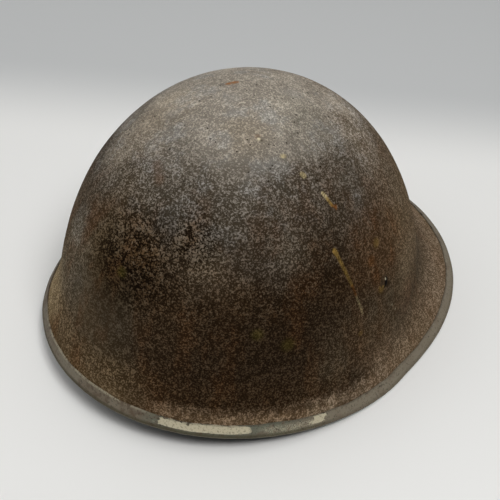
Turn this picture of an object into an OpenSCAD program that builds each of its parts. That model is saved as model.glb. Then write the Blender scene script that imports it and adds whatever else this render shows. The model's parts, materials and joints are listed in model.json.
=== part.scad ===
// Steel combat helmet: a deep oval bowl with a gentle brim all round, a folded strip over its edge,
// two strap brackets with swinging wire loops, a fibre and leather liner, and a webbing chin strap.
// The wearer looks along -Y, and +X is the wearer's left. The rim stands on the plane z = 0.

/* [Shell] */
// Height of the crown above the plane that the rim stands on
crown_height = 153; // [146:0.5:162]
// Room between the head and the dome's widest place at the front
front_room = 27; // [24:0.5:34]
// Room between the head and the dome's widest place at the back
back_room = 20; // [17:0.5:28]
// Room between the head and the dome's widest place at each side
side_room = 27.5; // [26:0.5:32]
// Thickness of the steel sheet
sheet = 1.2; // [0.9:0.1:1.6]
// How far the crown sits ahead of the middle of the rim
crown_lean = 10; // [6:0.5:13]
// Roundness of the oval, 2 is an ellipse and more is squarer
oval_power = 2.0; // [1.9:0.05:2.2]
// Fullness of the dome's shoulders, seen level
shoulder_power = 2.12; // [2.0:0.02:2.3]
// Fullness of the dome's flank below the shoulders
flank_power = 2.18; // [2.1:0.02:2.4]

/* [Brim] */
// How far the brim stands out at the front
brim_front = 21; // [16:0.5:26]
// How far the brim stands out at the back
brim_back = 44; // [36:0.5:48]
// How far the brim stands out at the sides
brim_side = 13; // [10:0.5:16]
// Height at which the brim starts to flare at the front
flare_start_front = 65; // [50:1:75]
// Height at which the brim starts to flare at the back
flare_start_back = 62; // [50:1:75]
// Height at which the brim starts to flare at the sides
flare_start_side = 27; // [22:1:34]
// How quickly the flare grows towards the edge
flare_power = 2.2; // [1.9:0.05:2.5]
// How the brim's back half narrows towards the sides, 2 is an even blend and less stays wide for longer
back_spread = 1.6; // [1.4:0.05:2]
// Rise of the rim at the middle of the front
front_lift = 14; // [8:0.5:16]
// Angle from the front at which the rise ends
lift_angle = 88; // [76:1:90]

/* [Edge strip] */
// Width of each side of the folded strip
strip_width = 6.8; // [5:0.2:9]
// Thickness of the strip
strip_thick = 0.6; // [0.5:0.05:0.8]
// Air between the strip and the sheet
strip_air = 0.1; // [0.05:0.01:0.15]
// Depth of the flat that the strip is worn to where it stands
strip_flat = 0.35; // [0.25:0.05:0.45]
// Gap of the butt joint at the back
strip_joint = 0.9; // [0.4:0.1:2]

/* [Strap brackets] */
// Height of the bracket's rivet above the plane of the rim
lug_height = 70.5; // [66:0.5:74]
// Thickness of the bracket
lug_thick = 1.6; // [1.2:0.1:2]
// Radius of the bracket's rounded top
lug_top = 10; // [8:0.5:11]
// Width of the bracket's foot
lug_foot = 16; // [14:0.5:18]
// Distance from the rivet down to the middle of the rolled barrel
lug_drop = 15.5; // [14:0.5:17]
// Outer radius of the rolled barrel
barrel_r = 3.2; // [2.8:0.1:3.5]
// Radius of the rivet's shank
rivet_r = 2.4; // [2:0.1:3]
// Radius of the rivet's outer head
rivet_head_r = 4; // [3.5:0.1:5]
// Height of the rivet's outer head
rivet_head_h = 1; // [0.8:0.1:1.5]

/* [Wire loops] */
// Radius of the loop's wire
wire_r = 1.5; // [1.3:0.1:1.8]
// Distance from the hinge down to the middle of the lower bar
loop_drop = 17; // [15:0.5:19]
// Half distance between the middles of the two side wires
loop_half = 13.5; // [12.5:0.5:15]
// Radius of the loop's corners, to the middle of the wire
loop_corner = 4; // [3:0.5:4.5]

/* [Crown fixing] */
// Radius of the stud's foot, which is spot welded under the crown
stud_foot_r = 11; // [10:0.5:14]
// Radius of the stud's head
stud_head_r = 4.6; // [4:0.1:5]
// Radius of the stud's neck
stud_neck_r = 3.2; // [2.6:0.1:3.4]
// Outer radius of the socket on the liner
socket_r = 9; // [8.5:0.5:11]
// Radius of the socket's tube, which passes through the straps
socket_tube_r = 6.8; // [6.5:0.1:7.2]
// Radius of the snap spring's wire
snap_wire_r = 0.8; // [0.6:0.05:0.9]

/* [Liner] */
// Half length of the head, inside the sweatband
head_length = 98; // [94:0.5:99]
// Half width of the head, inside the sweatband
head_width = 79.5; // [76:0.5:81]
// Thickness of the leather sweatband
sweat_thick = 1.6; // [1.2:0.1:2]
// Thickness of the fibre headband
band_thick = 1.6; // [1.2:0.1:2]
// Height of the headband's lower edge above the plane of the rim
band_bottom = 22; // [20:0.5:25]
// Height of the headband
band_height = 32; // [30:0.5:34]
// Height of the sweatband's turned lip outside the headband
lip_height = 5; // [4:0.5:6]
// Width of the crown straps
crown_strap_width = 22; // [18:0.5:24]
// Thickness of the crown straps
crown_strap_thick = 1.4; // [1:0.1:1.6]
// Thickness of the crown pad
pad_thick = 11; // [8:0.5:14]
// Width of each arm of the crown pad
pad_width = 44; // [38:1:48]
// Half length of the crown pad from side to side
pad_side = 56; // [50:1:60]
// Half length of the crown pad from front to back
pad_length = 66; // [60:1:72]
// Length of each rubber buffer along the headband
buffer_length = 28; // [22:1:32]
// Height of each rubber buffer
buffer_height = 22; // [18:0.5:23]
// Wall of each rubber buffer
buffer_wall = 3.2; // [2.5:0.1:4]

/* [Chin strap] */
// Width of the webbing
web_width = 20; // [18:0.5:22]
// Thickness of the webbing
web_thick = 1.6; // [1.2:0.1:1.8]
// Radius of the bend where the strap turns in from the side
strap_bend = 17; // [12:1:20]
// Height of the middle of the lying strap above the plane of the rim
strap_lie = 2; // [1.6:0.1:2.4]
// Place of the buckle's middle bar, from the middle of the helmet to the wearer's left
buckle_place = -29; // [-36:1:-20]
// Distance between the buckle's bars
buckle_pitch = 7; // [6.5:0.5:9]
// Radius of the buckle's bars
buckle_bar_r = 1.2; // [1:0.1:1.5]
// Place of the free end of the strap, from the middle of the helmet to the wearer's left
tail_place = 18; // [12:1:28]
// Place of the keeper, from the middle of the helmet to the wearer's left
keeper_place = -4; // [-8:1:2]

/* [Hidden] */

$fn = 48;
full_turn = 360;
half_turn = 180;
quarter_turn = 90;
hair = 0.1;
beyond = 60;

// Places round the bowl run from the front through the wearer's left, in degrees
around_count = 72;
around_step = full_turn / around_count;
// Levels up the dome above the strip, closer together in the flare
dome_levels = 18;
strip_levels = 3;
level_spread = 1.15;
probe_angle = 0.5;
probe_height = 0.05;

function unit(v) = v / norm(v);
function fold(a) = let(m = ((a % full_turn) + full_turn) % full_turn) m > half_turn ? full_turn - m : m;
front_spread = 2;
function ends_blend(a, side, front, back) = side
  + ((cos(a) > 0 ? front : back) - side) * pow(abs(cos(a)), cos(a) > 0 ? front_spread : back_spread);

// The dome is made to the head: its half length ahead of and behind its widest place, and its half width
dome_front = head_length + front_room;
dome_back = head_length + back_room;
dome_side = head_width + side_room;

// The bowl's outer surface, at an angle round it and a height, before the part is centred
function plan_r(a) = let(len = cos(a) > 0 ? dome_front : dome_back)
  pow(pow(abs(cos(a)) / len, oval_power) + pow(abs(sin(a)) / dome_side, oval_power), -1 / oval_power);
function flare_start(a) = ends_blend(a, flare_start_side, flare_start_front, flare_start_back);
function flare(a, z) = ends_blend(a, brim_side, brim_front, brim_back)
  * pow(max(0, 1 - z / flare_start(a)), flare_power);
function wall_r(a, z) = plan_r(a) * pow(1 - pow(z / crown_height, flank_power), 1 / shoulder_power)
  + flare(a, z);
function axis_y(z) = crown_lean * (1 - z / crown_height);
function outer_point(a, z) = [wall_r(a, z) * sin(a), axis_y(z) - wall_r(a, z) * cos(a), z];
function along(a, z) = outer_point(a + probe_angle, z) - outer_point(a - probe_angle, z);
function up(a, z) = unit(outer_point(a, z + probe_height) - outer_point(a, z - probe_height));
function outward(a, z) = unit(cross(along(a, z), up(a, z)));
function skin_point(a, z, out) = outer_point(a, z) + out * outward(a, z);

// The sheet's edge: level where the helmet stands, and raised at the front
lift_power = 1.6;
strip_in_r = sheet / 2 + strip_air;
strip_out_r = strip_in_r + strip_thick;
edge_rise = strip_out_r + sheet / 2 - strip_flat;
function edge_z(a) = edge_rise
  + (fold(a) < lift_angle ? front_lift * pow(cos(quarter_turn * fold(a) / lift_angle), lift_power) : 0);
function edge_up(a) = up(a, edge_z(a));
function strip_z(a, share) = edge_z(a) + share * strip_width * edge_up(a)[2];
function level_z(a, j) = j < strip_levels ? strip_z(a, j / (strip_levels - 1))
  : let(low = strip_z(a, 1), share = pow((j - strip_levels + 1) / dome_levels, level_spread))
    low + (crown_height - low) * sin(quarter_turn * share);
level_count = dome_levels + strip_levels - 1;

// The folded strip's section at one place, down its outer side, round the edge and up its inner side
edge_arcs = 4;
function strip_contour(a, r) = let(
    mid = skin_point(a, edge_z(a), -sheet / 2),
    n = outward(a, edge_z(a)),
    t = edge_up(a),
    outer_d = r - sheet / 2,
    inner_d = -r - sheet / 2
  ) concat(
    [for (share = [1, 1 / 2]) skin_point(a, strip_z(a, share), outer_d)],
    [for (i = [0:edge_arcs]) let(b = half_turn * i / edge_arcs) mid + r * (cos(b) * n - sin(b) * t)],
    [for (share = [1 / 2, 1]) skin_point(a, strip_z(a, share), inner_d)]
  );
contour_count = len(strip_contour(0, strip_in_r));
strip_gap_angle = asin(strip_joint / 2 / wall_r(half_turn, edge_rise));
strip_angles = [for (i = [0:around_count]) half_turn + (
    i == 0 ? strip_gap_angle : i == around_count ? full_turn - strip_gap_angle : i * around_step
  )];

// The part is centred on its box
front_reach = min([for (p = strip_contour(0, strip_out_r)) p[1]]);
back_reach = max([for (p = strip_contour(half_turn - strip_gap_angle, strip_out_r)) p[1]]);
centre_shift = -(front_reach + back_reach) / 2;
module placed() {
  translate([0, centre_shift, 0]) children();
}

// Triangles of a grid of points, row after row, with its columns closed into rings
function grid_faces(rows, cols, first) = [
  for (j = [0:rows - 2], k = [0:cols - 1]) let(
      p = first + j * cols + k, q = first + j * cols + (k + 1) % cols
    ) each [[p, p + cols, q + cols], [p, q + cols, q]]
];
function start_fan(pole, cols, first) = [for (k = [0:cols - 1]) [pole, first + k, first + (k + 1) % cols]];
function end_fan(pole, cols, first) = [for (k = [0:cols - 1]) [first + k, pole, first + (k + 1) % cols]];

// Bends and ribbons, drawn in a plane
function arc(c, r, a0, a1, n) = oval_arc(c, r, r, a0, a1, n);
function oval_arc(c, rx, ry, a0, a1, n) =
  [for (i = [0:n]) let(t = a0 + (a1 - a0) * i / n) c + [rx * cos(t), ry * sin(t)]];
function reversed(list) = [for (i = [len(list) - 1:-1:0]) list[i]];
function mirrored(list) = [for (p = list) [-p[0], p[1]]];
function heading(path, i) = unit(path[min(i + 1, len(path) - 1)] - path[max(i - 1, 0)]);
function beside(path, d) =
  [for (i = [0:len(path) - 1]) let(h = heading(path, i)) path[i] + d * [-h[1], h[0]]];
function touch_angle(from, c, r, side) =
  atan2(from[1] - c[1], from[0] - c[0]) + side * acos(r / norm(from - c));
module ribbon(path, thick) {
  polygon(concat(beside(path, thick / 2), reversed(beside(path, -thick / 2))));
}
module across_y(width) {
  rotate([quarter_turn, 0, 0]) linear_extrude(width, center = true) children();
}
module across_x(width) {
  rotate([quarter_turn, 0, quarter_turn]) linear_extrude(width, center = true) children();
}
module along_x() {
  rotate([0, quarter_turn, 0]) children();
}
module along_y() {
  rotate([-quarter_turn, 0, 0]) children();
}

module shell() {
  inner_rings = [
    for (j = [level_count - 1:-1:0])
      [for (i = [0:around_count - 1]) let(a = i * around_step) skin_point(a, level_z(a, j), -sheet)]
  ];
  outer_rings = [
    for (j = [0:level_count - 1])
      [for (i = [0:around_count - 1]) let(a = i * around_step) outer_point(a, level_z(a, j))]
  ];
  rings = concat(inner_rings, outer_rings);
  inner_pole = [0, 0, crown_height - sheet];
  outer_pole = [0, 0, crown_height];
  last_ring = 1 + (len(rings) - 1) * around_count;
  color([0.36, 0.31, 0.27])
    placed()
      difference() {
        polyhedron(
          points = concat([inner_pole], [for (ring = rings) each ring], [outer_pole]),
          faces = concat(
            start_fan(0, around_count, 1),
            grid_faces(len(rings), around_count, 1),
            end_fan(last_ring + around_count, around_count, last_ring)
          )
        );
        for (side = [0, 1]) at_lug(side)
          along_x() cylinder(r = rivet_r + rivet_air, h = beyond / 2, center = true);
      }
}

module rim_strip() {
  section = function(a) concat(strip_contour(a, strip_out_r), reversed(strip_contour(a, strip_in_r)));
  cols = 2 * contour_count;
  stations = len(strip_angles);
  cap = function(first, flip) [
    for (k = [0:contour_count - 2]) let(
        o = first + k, n = first + k + 1, m = first + cols - 2 - k, i = first + cols - 1 - k
      ) each flip ? [[o, i, m], [o, m, n]] : [[o, n, m], [o, m, i]]
  ];
  color([0.42, 0.41, 0.33])
    placed()
      difference() {
        polyhedron(
          points = [for (a = strip_angles) each section(a)],
          faces = concat(
            grid_faces(stations, cols, 0),
            cap(0, false),
            cap((stations - 1) * cols, true)
          )
        );
        translate([-3 * beyond, -3 * beyond, -beyond]) cube([6 * beyond, 6 * beyond, beyond]);
      }
}

// The strap bracket: its plate follows the wall, and its foot is rolled round the loop's wire
rivet_air = 0.05;
lug_seat = 0.25;
lug_curve = 125;
wire_air = 0.08;
seam = 0.6;
head_steps = 6;
lug_point = outer_point(quarter_turn, lug_height);
lug_tilt = asin(outward(quarter_turn, lug_height)[2]);
lug_y = lug_point[1];
plate_out = -(sheet + lug_seat);
plate_in = plate_out - lug_thick;
barrel_out = plate_out - (lug_curve - sqrt(pow(lug_curve, 2) - pow(lug_drop, 2))) - barrel_r;
hinge_x = lug_point[0] + barrel_out * cos(lug_tilt) + lug_drop * sin(lug_tilt);
hinge_z = lug_point[2] + barrel_out * sin(lug_tilt) - lug_drop * cos(lug_tilt);

// Side 0 is the wearer's left, and side 1 mirrors it. Local X points out of the wall, and Z up along it
module at_lug(side) {
  mirror([side, 0, 0]) translate(lug_point) rotate([0, -lug_tilt, 0]) children();
}

module strap_bracket(side) {
  color([0.33, 0.32, 0.28])
    placed() at_lug(side) difference() {
        union() {
          intersection() {
            along_x() rotate([0, 0, half_turn]) linear_extrude(2 * beyond, center = true) {
                circle(lug_top);
                translate([-lug_drop, -lug_foot / 2]) square([lug_drop, lug_foot]);
              }
            translate([plate_out - lug_curve, 0, 0]) difference() {
                sphere(r = lug_curve, $fn = 4 * $fn);
                sphere(r = lug_curve - lug_thick, $fn = 4 * $fn);
                translate([-4 * beyond - lug_curve / 2, -2 * beyond, -2 * beyond]) cube(4 * beyond);
              }
          }
          translate([barrel_out, 0, -lug_drop]) along_y()
              cylinder(r = barrel_r, h = lug_foot, center = true);
        }
        along_x() cylinder(r = rivet_r + rivet_air, h = beyond / 2, center = true);
        translate([barrel_out, 0, -lug_drop]) along_y()
            cylinder(r = wire_r + wire_air, h = beyond, center = true);
        translate([barrel_out - 2 * barrel_r, -beyond / 2, -lug_drop + wire_r])
          cube([2 * barrel_r, beyond, seam]);
      }
}

module bracket_rivet(side) {
  inner_head_h = 1.2;
  inner_head_r = rivet_head_r + hair;
  plate_r = lug_curve - lug_thick;
  plate_sag = plate_r - sqrt(pow(plate_r, 2) - pow(inner_head_r, 2));
  head_curve = (pow(rivet_head_r, 2) + pow(rivet_head_h, 2)) / (2 * rivet_head_h);
  head_sweep = asin(rivet_head_r / head_curve);
  head_centre = [0, rivet_air + rivet_head_h - head_curve];
  head_arc = arc(head_centre, head_curve, quarter_turn - head_sweep, quarter_turn, head_steps);
  inner_top = plate_in - rivet_air - plate_sag;
  color([0.38, 0.34, 0.27])
    placed() at_lug(side) along_x() rotate_extrude()
          polygon(concat(
            [[0, inner_top - inner_head_h], [inner_head_r - inner_head_h / 2, inner_top - inner_head_h]],
            [[inner_head_r, inner_top - inner_head_h / 2], [inner_head_r, inner_top]],
            [[rivet_r, inner_top], [rivet_r, rivet_air]],
            head_arc
          ));
}

// A wire bent into a rectangle with round corners, in the YZ plane. It hangs from the middle of its top bar
module wire_frame(half_y, drop, corner_r, r) {
  straight_half = half_y - corner_r;
  module corner(y_sign, z_place, start)
    translate([0, y_sign * straight_half, z_place])
      rotate([0, -quarter_turn, 0]) rotate([0, 0, start])
          rotate_extrude(angle = quarter_turn) translate([corner_r, 0]) circle(r);
  for (z = [0, -drop]) translate([0, 0, z]) along_y() cylinder(r = r, h = 2 * straight_half, center = true);
  for (y = [-half_y, half_y]) translate([0, y, corner_r - drop]) cylinder(r = r, h = drop - 2 * corner_r);
  corner(1, -corner_r, 0);
  corner(-1, -corner_r, -quarter_turn);
  corner(1, corner_r - drop, quarter_turn);
  corner(-1, corner_r - drop, half_turn);
}

// The wire loop hangs straight down from its hinge
module strap_loop(side) {
  color([0.42, 0.40, 0.36])
    placed() mirror([side, 0, 0]) translate([hinge_x, lug_y, hinge_z])
          wire_frame(loop_half, loop_drop, loop_corner, wire_r);
}

// The crown fixing, from the sheet down: stud, socket with its snap spring, two straps, washer, turned end
stud_seat = 0.25;
stud_curve = 105;
stud_foot_h = 1.2;
foot_top = crown_height - sheet - stud_seat;
foot_under = foot_top - stud_foot_h;
socket_air = 0.95;
socket_top = foot_under - socket_air;
snap_air = 0.1;
snap_lip = 0.3;
snap_ring_r = stud_neck_r + snap_air + snap_wire_r;
snap_z = socket_top - snap_lip - snap_wire_r;
head_top = snap_z - snap_wire_r - snap_air;
stud_head_h = 2.4;
socket_body_h = 3.8;
strap_stack_top = socket_top - socket_body_h;
layer_air = 0.1;
side_strap_z = strap_stack_top - layer_air - crown_strap_thick / 2;
long_strap_z = side_strap_z - crown_strap_thick - layer_air;
stack_under = long_strap_z - crown_strap_thick / 2;
washer_h = 1;
washer_r = socket_r;
washer_top = stack_under - layer_air;
turned_top = washer_top - washer_h - layer_air;
turned_h = 0.8;
turned_lip = 1.6;
turned_r = socket_tube_r + turned_lip;
head_air = 0.2;
socket_bore_r = stud_head_r + head_air;
tube_air = 0.1;

module crown_stud() {
  foot_sweep = asin(stud_foot_r / stud_curve);
  foot_centre = [0, foot_top - stud_curve];
  under_curve = stud_curve - stud_foot_h;
  foot_arc = arc(foot_centre, stud_curve, quarter_turn, quarter_turn - foot_sweep, head_steps);
  under_arc = arc(foot_centre, under_curve, quarter_turn - foot_sweep,
                  quarter_turn - asin(stud_neck_r / under_curve), head_steps);
  chamfer = 0.6;
  color([0.45, 0.44, 0.40])
    placed() rotate_extrude()
        polygon(concat(
          foot_arc,
          under_arc,
          [[stud_neck_r, head_top + chamfer / 2], [stud_head_r - chamfer / 2, head_top]],
          [[stud_head_r, head_top - chamfer], [stud_head_r, head_top - stud_head_h + chamfer]],
          [[stud_head_r - chamfer, head_top - stud_head_h], [0, head_top - stud_head_h]]
        ));
}

module crown_socket() {
  groove_r = snap_ring_r + snap_wire_r + 2 * snap_air;
  groove_half = snap_wire_r + snap_air / 2;
  bevel = 0.8;
  color([0.52, 0.46, 0.30])
    placed() rotate_extrude()
        polygon([
          [socket_bore_r, socket_top], [socket_r - bevel, socket_top], [socket_r, socket_top - bevel],
          [socket_r, strap_stack_top], [socket_tube_r, strap_stack_top], [socket_tube_r, turned_top],
          [turned_r, turned_top], [turned_r, turned_top - turned_h], [socket_bore_r, turned_top - turned_h],
          [socket_bore_r, snap_z - groove_half], [groove_r, snap_z - groove_half],
          [groove_r, snap_z + groove_half], [socket_bore_r, snap_z + groove_half],
        ]);
}

module snap_spring() {
  spring_turn = 320;
  color([0.60, 0.60, 0.58])
    placed() translate([0, 0, snap_z])
        rotate([0, 0, quarter_turn + (full_turn - spring_turn) / 2])
          rotate_extrude(angle = spring_turn) translate([snap_ring_r, 0]) circle(snap_wire_r, $fn = 24);
}

module crown_washer() {
  color([0.50, 0.47, 0.38])
    placed() translate([0, 0, washer_top - washer_h]) difference() {
        cylinder(r = washer_r, h = washer_h);
        translate([0, 0, -washer_h]) cylinder(r = socket_tube_r + tube_air, h = 3 * washer_h);
      }
}

// The liner's oval, in the plane of the rim. The headband sits midway between front and back of the dome
balance_z = 110;
liner_y = (skin_point(0, balance_z, -sheet)[1] + skin_point(half_turn, balance_z, -sheet)[1]) / 2;
rivet_room = 1.1;
sweat_out = sweat_thick;
band_in = sweat_out + rivet_room;
band_out = band_in + band_thick;
oval_count = 96;
module head_oval(out) {
  polygon([
    for (i = [0:oval_count - 1]) let(t = i * full_turn / oval_count)
      [(head_width + out) * sin(t), -(head_length + out) * cos(t)]
  ]);
}
module oval_ring(inner, outer, bottom, top) {
  translate([0, liner_y, bottom]) linear_extrude(top - bottom) difference() {
        head_oval(outer);
        head_oval(inner);
      }
}
band_top = band_bottom + band_height;
arm_seat = 0.1;
arm_middle = band_out + arm_seat + crown_strap_thick / 2;
lip_room = 3;
arm_bottom = band_bottom + lip_height + lip_room;
lower_rivet_rise = 5;
upper_rivet_drop = 6;
arm_rivet_zs = [arm_bottom + lower_rivet_rise, band_top - upper_rivet_drop];
arm_side = head_width + arm_middle;
arm_front = head_length + arm_middle - liner_y;
arm_back = head_length + arm_middle + liner_y;
crown_flat = 13;
liner_rivet_r = 1.5;
liner_rivet_head_r = 3;
liner_head_h = 0.8;

module headband() {
  color([0.24, 0.20, 0.16])
    placed() difference() {
        oval_ring(band_in, band_out, band_bottom, band_top);
        arm_rivet_places() cylinder(r = liner_rivet_r + rivet_air, h = beyond / 2, center = true);
        for (t = buffer_angles) buffer_rivet_place(t)
          cylinder(r = liner_rivet_r + rivet_air, h = beyond / 2, center = true);
      }
}

module sweatband() {
  turn_air = 0.4;
  lip_in = band_out + turn_air;
  lip_out = lip_in + sweat_thick;
  fold_top = band_bottom - turn_air;
  top_margin = 3;
  color([0.36, 0.24, 0.15])
    placed() {
      oval_ring(0, sweat_out, fold_top - sweat_thick, band_top + top_margin);
      oval_ring(0, lip_out, fold_top - sweat_thick, fold_top);
      oval_ring(lip_in, lip_out, fold_top - sweat_thick, band_bottom + lip_height);
    }
}

// A crown strap rises straight past the headband and bends in a quarter oval to its flat middle
strap_bend_steps = 18;
function strap_half(reach, z, drop) = oval_arc(
  [crown_flat, band_top], reach - crown_flat - drop, z - drop - band_top, 0, quarter_turn, strap_bend_steps
);
function strap_path(right, left, z) = concat(
  [[right, arm_bottom]], strap_half(right, z, 0),
  mirrored(reversed(strap_half(left, z, 0))), [[-left, arm_bottom]]
);
module crown_hole() {
  cylinder(r = socket_tube_r + tube_air, h = 3 * beyond);
}

// Children stand at each rivet of the crown straps, with Z pointing out of the band
module arm_rivet_places() {
  for (z = arm_rivet_zs) {
    for (s = [-1, 1])
      translate([s * (head_width + band_out), 0, z]) rotate([0, s * quarter_turn, 0]) children();
    translate([0, liner_y - head_length - band_out, z]) rotate([quarter_turn, 0, 0]) children();
    translate([0, liner_y + head_length + band_out, z]) rotate([-quarter_turn, 0, 0]) children();
  }
}

module side_crown_strap() {
  color([0.26, 0.22, 0.17])
    placed() difference() {
        across_y(crown_strap_width) ribbon(strap_path(arm_side, arm_side, side_strap_z), crown_strap_thick);
        crown_hole();
        arm_rivet_places() cylinder(r = liner_rivet_r + rivet_air, h = beyond / 2, center = true);
      }
}

module lengthwise_crown_strap() {
  color([0.26, 0.22, 0.17])
    placed() difference() {
        across_x(crown_strap_width) ribbon(strap_path(arm_back, arm_front, long_strap_z), crown_strap_thick);
        crown_hole();
        arm_rivet_places() cylinder(r = liner_rivet_r + rivet_air, h = beyond / 2, center = true);
      }
}

// One tubular rivet: its outer head starts at the given height, and its inner head lies under the band
module liner_rivet(outer_seat) {
  inner_seat = -band_thick - hair;
  translate([0, 0, outer_seat]) cylinder(r = liner_rivet_head_r, h = liner_head_h);
  translate([0, 0, inner_seat]) cylinder(r = liner_rivet_r, h = outer_seat - inner_seat);
  translate([0, 0, inner_seat - liner_head_h]) cylinder(r = liner_rivet_head_r, h = liner_head_h);
}

module crown_strap_rivets() {
  color([0.50, 0.45, 0.30])
    placed() arm_rivet_places() liner_rivet(arm_seat + crown_strap_thick + arm_seat / 2);
}

// The crown pad is a cross of two arms that follow the straps
module crown_pad() {
  pad_seat = 0.7;
  pad_mid = stack_under - pad_seat - pad_thick / 2;
  pocket_air = 1.5;
  end_trim = 1;
  pocket_r = washer_r + pocket_air;
  pocket_under = turned_top - turned_h - pad_seat;
  end_r = pad_width / 3;
  function pad_half(reach, end) = let(
      run = reach - crown_flat - (side_strap_z - pad_mid),
      low = acos((end - crown_flat) / run)
    ) oval_arc([crown_flat, band_top], run, pad_mid - band_top, low, quarter_turn, strap_bend_steps);
  module rounded(length, width)
    linear_extrude(3 * beyond) {
      square([2 * length, width - 2 * end_r], center = true);
      square([2 * (length - end_r), width], center = true);
      for (x = [end_r - length, length - end_r], y = [end_r - width / 2, width / 2 - end_r])
        translate([x, y]) circle(end_r);
    }
  color([0.20, 0.19, 0.17])
    placed() difference() {
        union() {
          intersection() {
            across_y(pad_width + hair) ribbon(
                concat(pad_half(arm_side, pad_side), mirrored(reversed(pad_half(arm_side, pad_side)))),
                pad_thick
              );
            rounded(pad_side - end_trim, pad_width);
          }
          intersection() {
            across_x(pad_width + hair) ribbon(
                concat(pad_half(arm_back, pad_length), mirrored(reversed(pad_half(arm_front, pad_length)))),
                pad_thick
              );
            rotate([0, 0, quarter_turn]) rounded(pad_length - end_trim, pad_width);
          }
        }
        translate([0, 0, pocket_under]) cylinder(r = pocket_r, h = beyond);
      }
}

// The rubber buffers stand on the headband and reach to the bowl's inner wall
buffer_angles = [30, -30, 61, -61, 119, -119, 150, -150];
buffer_rise = 2;
buffer_z = band_bottom + lip_height + buffer_rise + buffer_height / 2;
buffer_seat = 0.15;
buffer_wall_air = 0.5;
function band_point(t) = [(head_width + band_out) * sin(t), liner_y - (head_length + band_out) * cos(t)];
function band_normal(t) = unit([(head_length + band_out) * sin(t), -(head_width + band_out) * cos(t)]);
function band_curve(t) = let(w = head_width + band_out, l = head_length + band_out)
  pow(pow(l * sin(t), 2) + pow(w * cos(t), 2), 3 / 2) / (w * l);
// Room between the band and the bowl's inner wall, found by halving an interval
room_steps = 14;
room_most = 40;
function slope_cos(a, z) = let(n = outward(a, z)) norm([n[0], n[1]]);
function inside(p, z) = let(v = [p[0], p[1] - axis_y(z)])
  norm(v) < wall_r(atan2(v[0], -v[1]), z) - sheet / slope_cos(atan2(v[0], -v[1]), z);
function room(t, z, low, high, n) = let(mid = (low + high) / 2) n == 0 ? low
  : inside(band_point(t) + mid * band_normal(t), z) ? room(t, z, mid, high, n - 1)
  : room(t, z, low, mid, n - 1);

module buffer_rivet_place(t) {
  p = band_point(t);
  n = band_normal(t);
  translate([p[0], p[1], buffer_z]) rotate([0, 0, atan2(n[1], n[0])]) along_x() children();
}

module buffer(t) {
  curve = band_curve(t);
  p = band_point(t);
  n = band_normal(t);
  turn = atan2(n[1], n[0]);
  depth = room(t, buffer_z + buffer_height / 4, 0, room_most, room_steps) - buffer_seat - buffer_wall_air;
  sweep = buffer_length / curve * half_turn / PI;
  outline_steps = 16;
  rise = function(inset) oval_arc(
    [curve + buffer_seat + inset, 0], depth - 2 * inset, buffer_height / 2 - inset,
    -quarter_turn, quarter_turn, outline_steps
  );
  color([0.13, 0.13, 0.12])
    placed() difference() {
        translate([p[0] - curve * n[0], p[1] - curve * n[1], buffer_z]) rotate([0, 0, turn - sweep / 2])
            rotate_extrude(angle = sweep, $fn = 4 * $fn) difference() {
                polygon(rise(0));
                polygon(rise(buffer_wall));
              }
        buffer_rivet_place(t) cylinder(r = liner_rivet_r + rivet_air, h = beyond / 4, center = true);
      }
}

module buffer_rivets() {
  color([0.50, 0.45, 0.30])
    placed() for (t = buffer_angles) buffer_rivet_place(t)
        liner_rivet(buffer_seat + buffer_wall + hair);
}

// The chin strap hangs from both loops and lies across the opening on what the helmet stands on
bar_z = hinge_z - loop_drop;
web_air = 0.3;
stack_air = 0.1;
stack_half = (web_thick + stack_air) / 2;
loop_wrap_r = wire_r + web_air + web_thick / 2;
loop_bar = [hinge_x, bar_z];
wrap_drop = 8;
sewn_length = 12;
wrap_steps = 14;
bend_steps = 12;
bend_centre = [hinge_x - stack_half - strap_bend, strap_lie + strap_bend];
// From the sewn end up, over the loop's lower bar, down again and round the bend
function hanging_path() = let(
    out_low = [hinge_x + stack_half, bar_z - wrap_drop],
    in_low = [hinge_x - stack_half, bar_z - wrap_drop],
    first = touch_angle(out_low, loop_bar, loop_wrap_r, 1),
    last = touch_angle(in_low, loop_bar, loop_wrap_r, -1)
  ) concat(
    [out_low - [0, sewn_length], out_low],
    arc(loop_bar, loop_wrap_r, first, last + full_turn, wrap_steps),
    [in_low],
    arc(bend_centre, strap_bend, 0, -quarter_turn, bend_steps)
  );

tail_air = 0.8;
slide_air = 0.6;
tail_z = strap_lie + web_thick + tail_air;
slide_z = tail_z + web_thick + slide_air + buckle_bar_r;
slide_wrap_r = buckle_bar_r + web_air + web_thick / 2;
middle_bar = [buckle_place, slide_z];
sewn_bar = [buckle_place - buckle_pitch, slide_z];
rise_r = 3;
turn_r = web_thick;

module long_chin_strap() {
  rise_centre = [middle_bar[0] - slide_wrap_r + rise_r, strap_lie + rise_r];
  turn_centre = [middle_bar[0] + slide_wrap_r + turn_r, tail_z + turn_r];
  path = concat(
    hanging_path(),
    arc(rise_centre, rise_r, -quarter_turn, -half_turn, bend_steps / 2),
    arc(middle_bar, slide_wrap_r, half_turn, 0, wrap_steps),
    arc(turn_centre, turn_r, half_turn, half_turn + quarter_turn, bend_steps / 2),
    [[tail_place, tail_z]]
  );
  color([0.45, 0.42, 0.30])
    placed() translate([0, lug_y, 0]) across_y(web_width) ribbon(path, web_thick);
}

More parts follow.
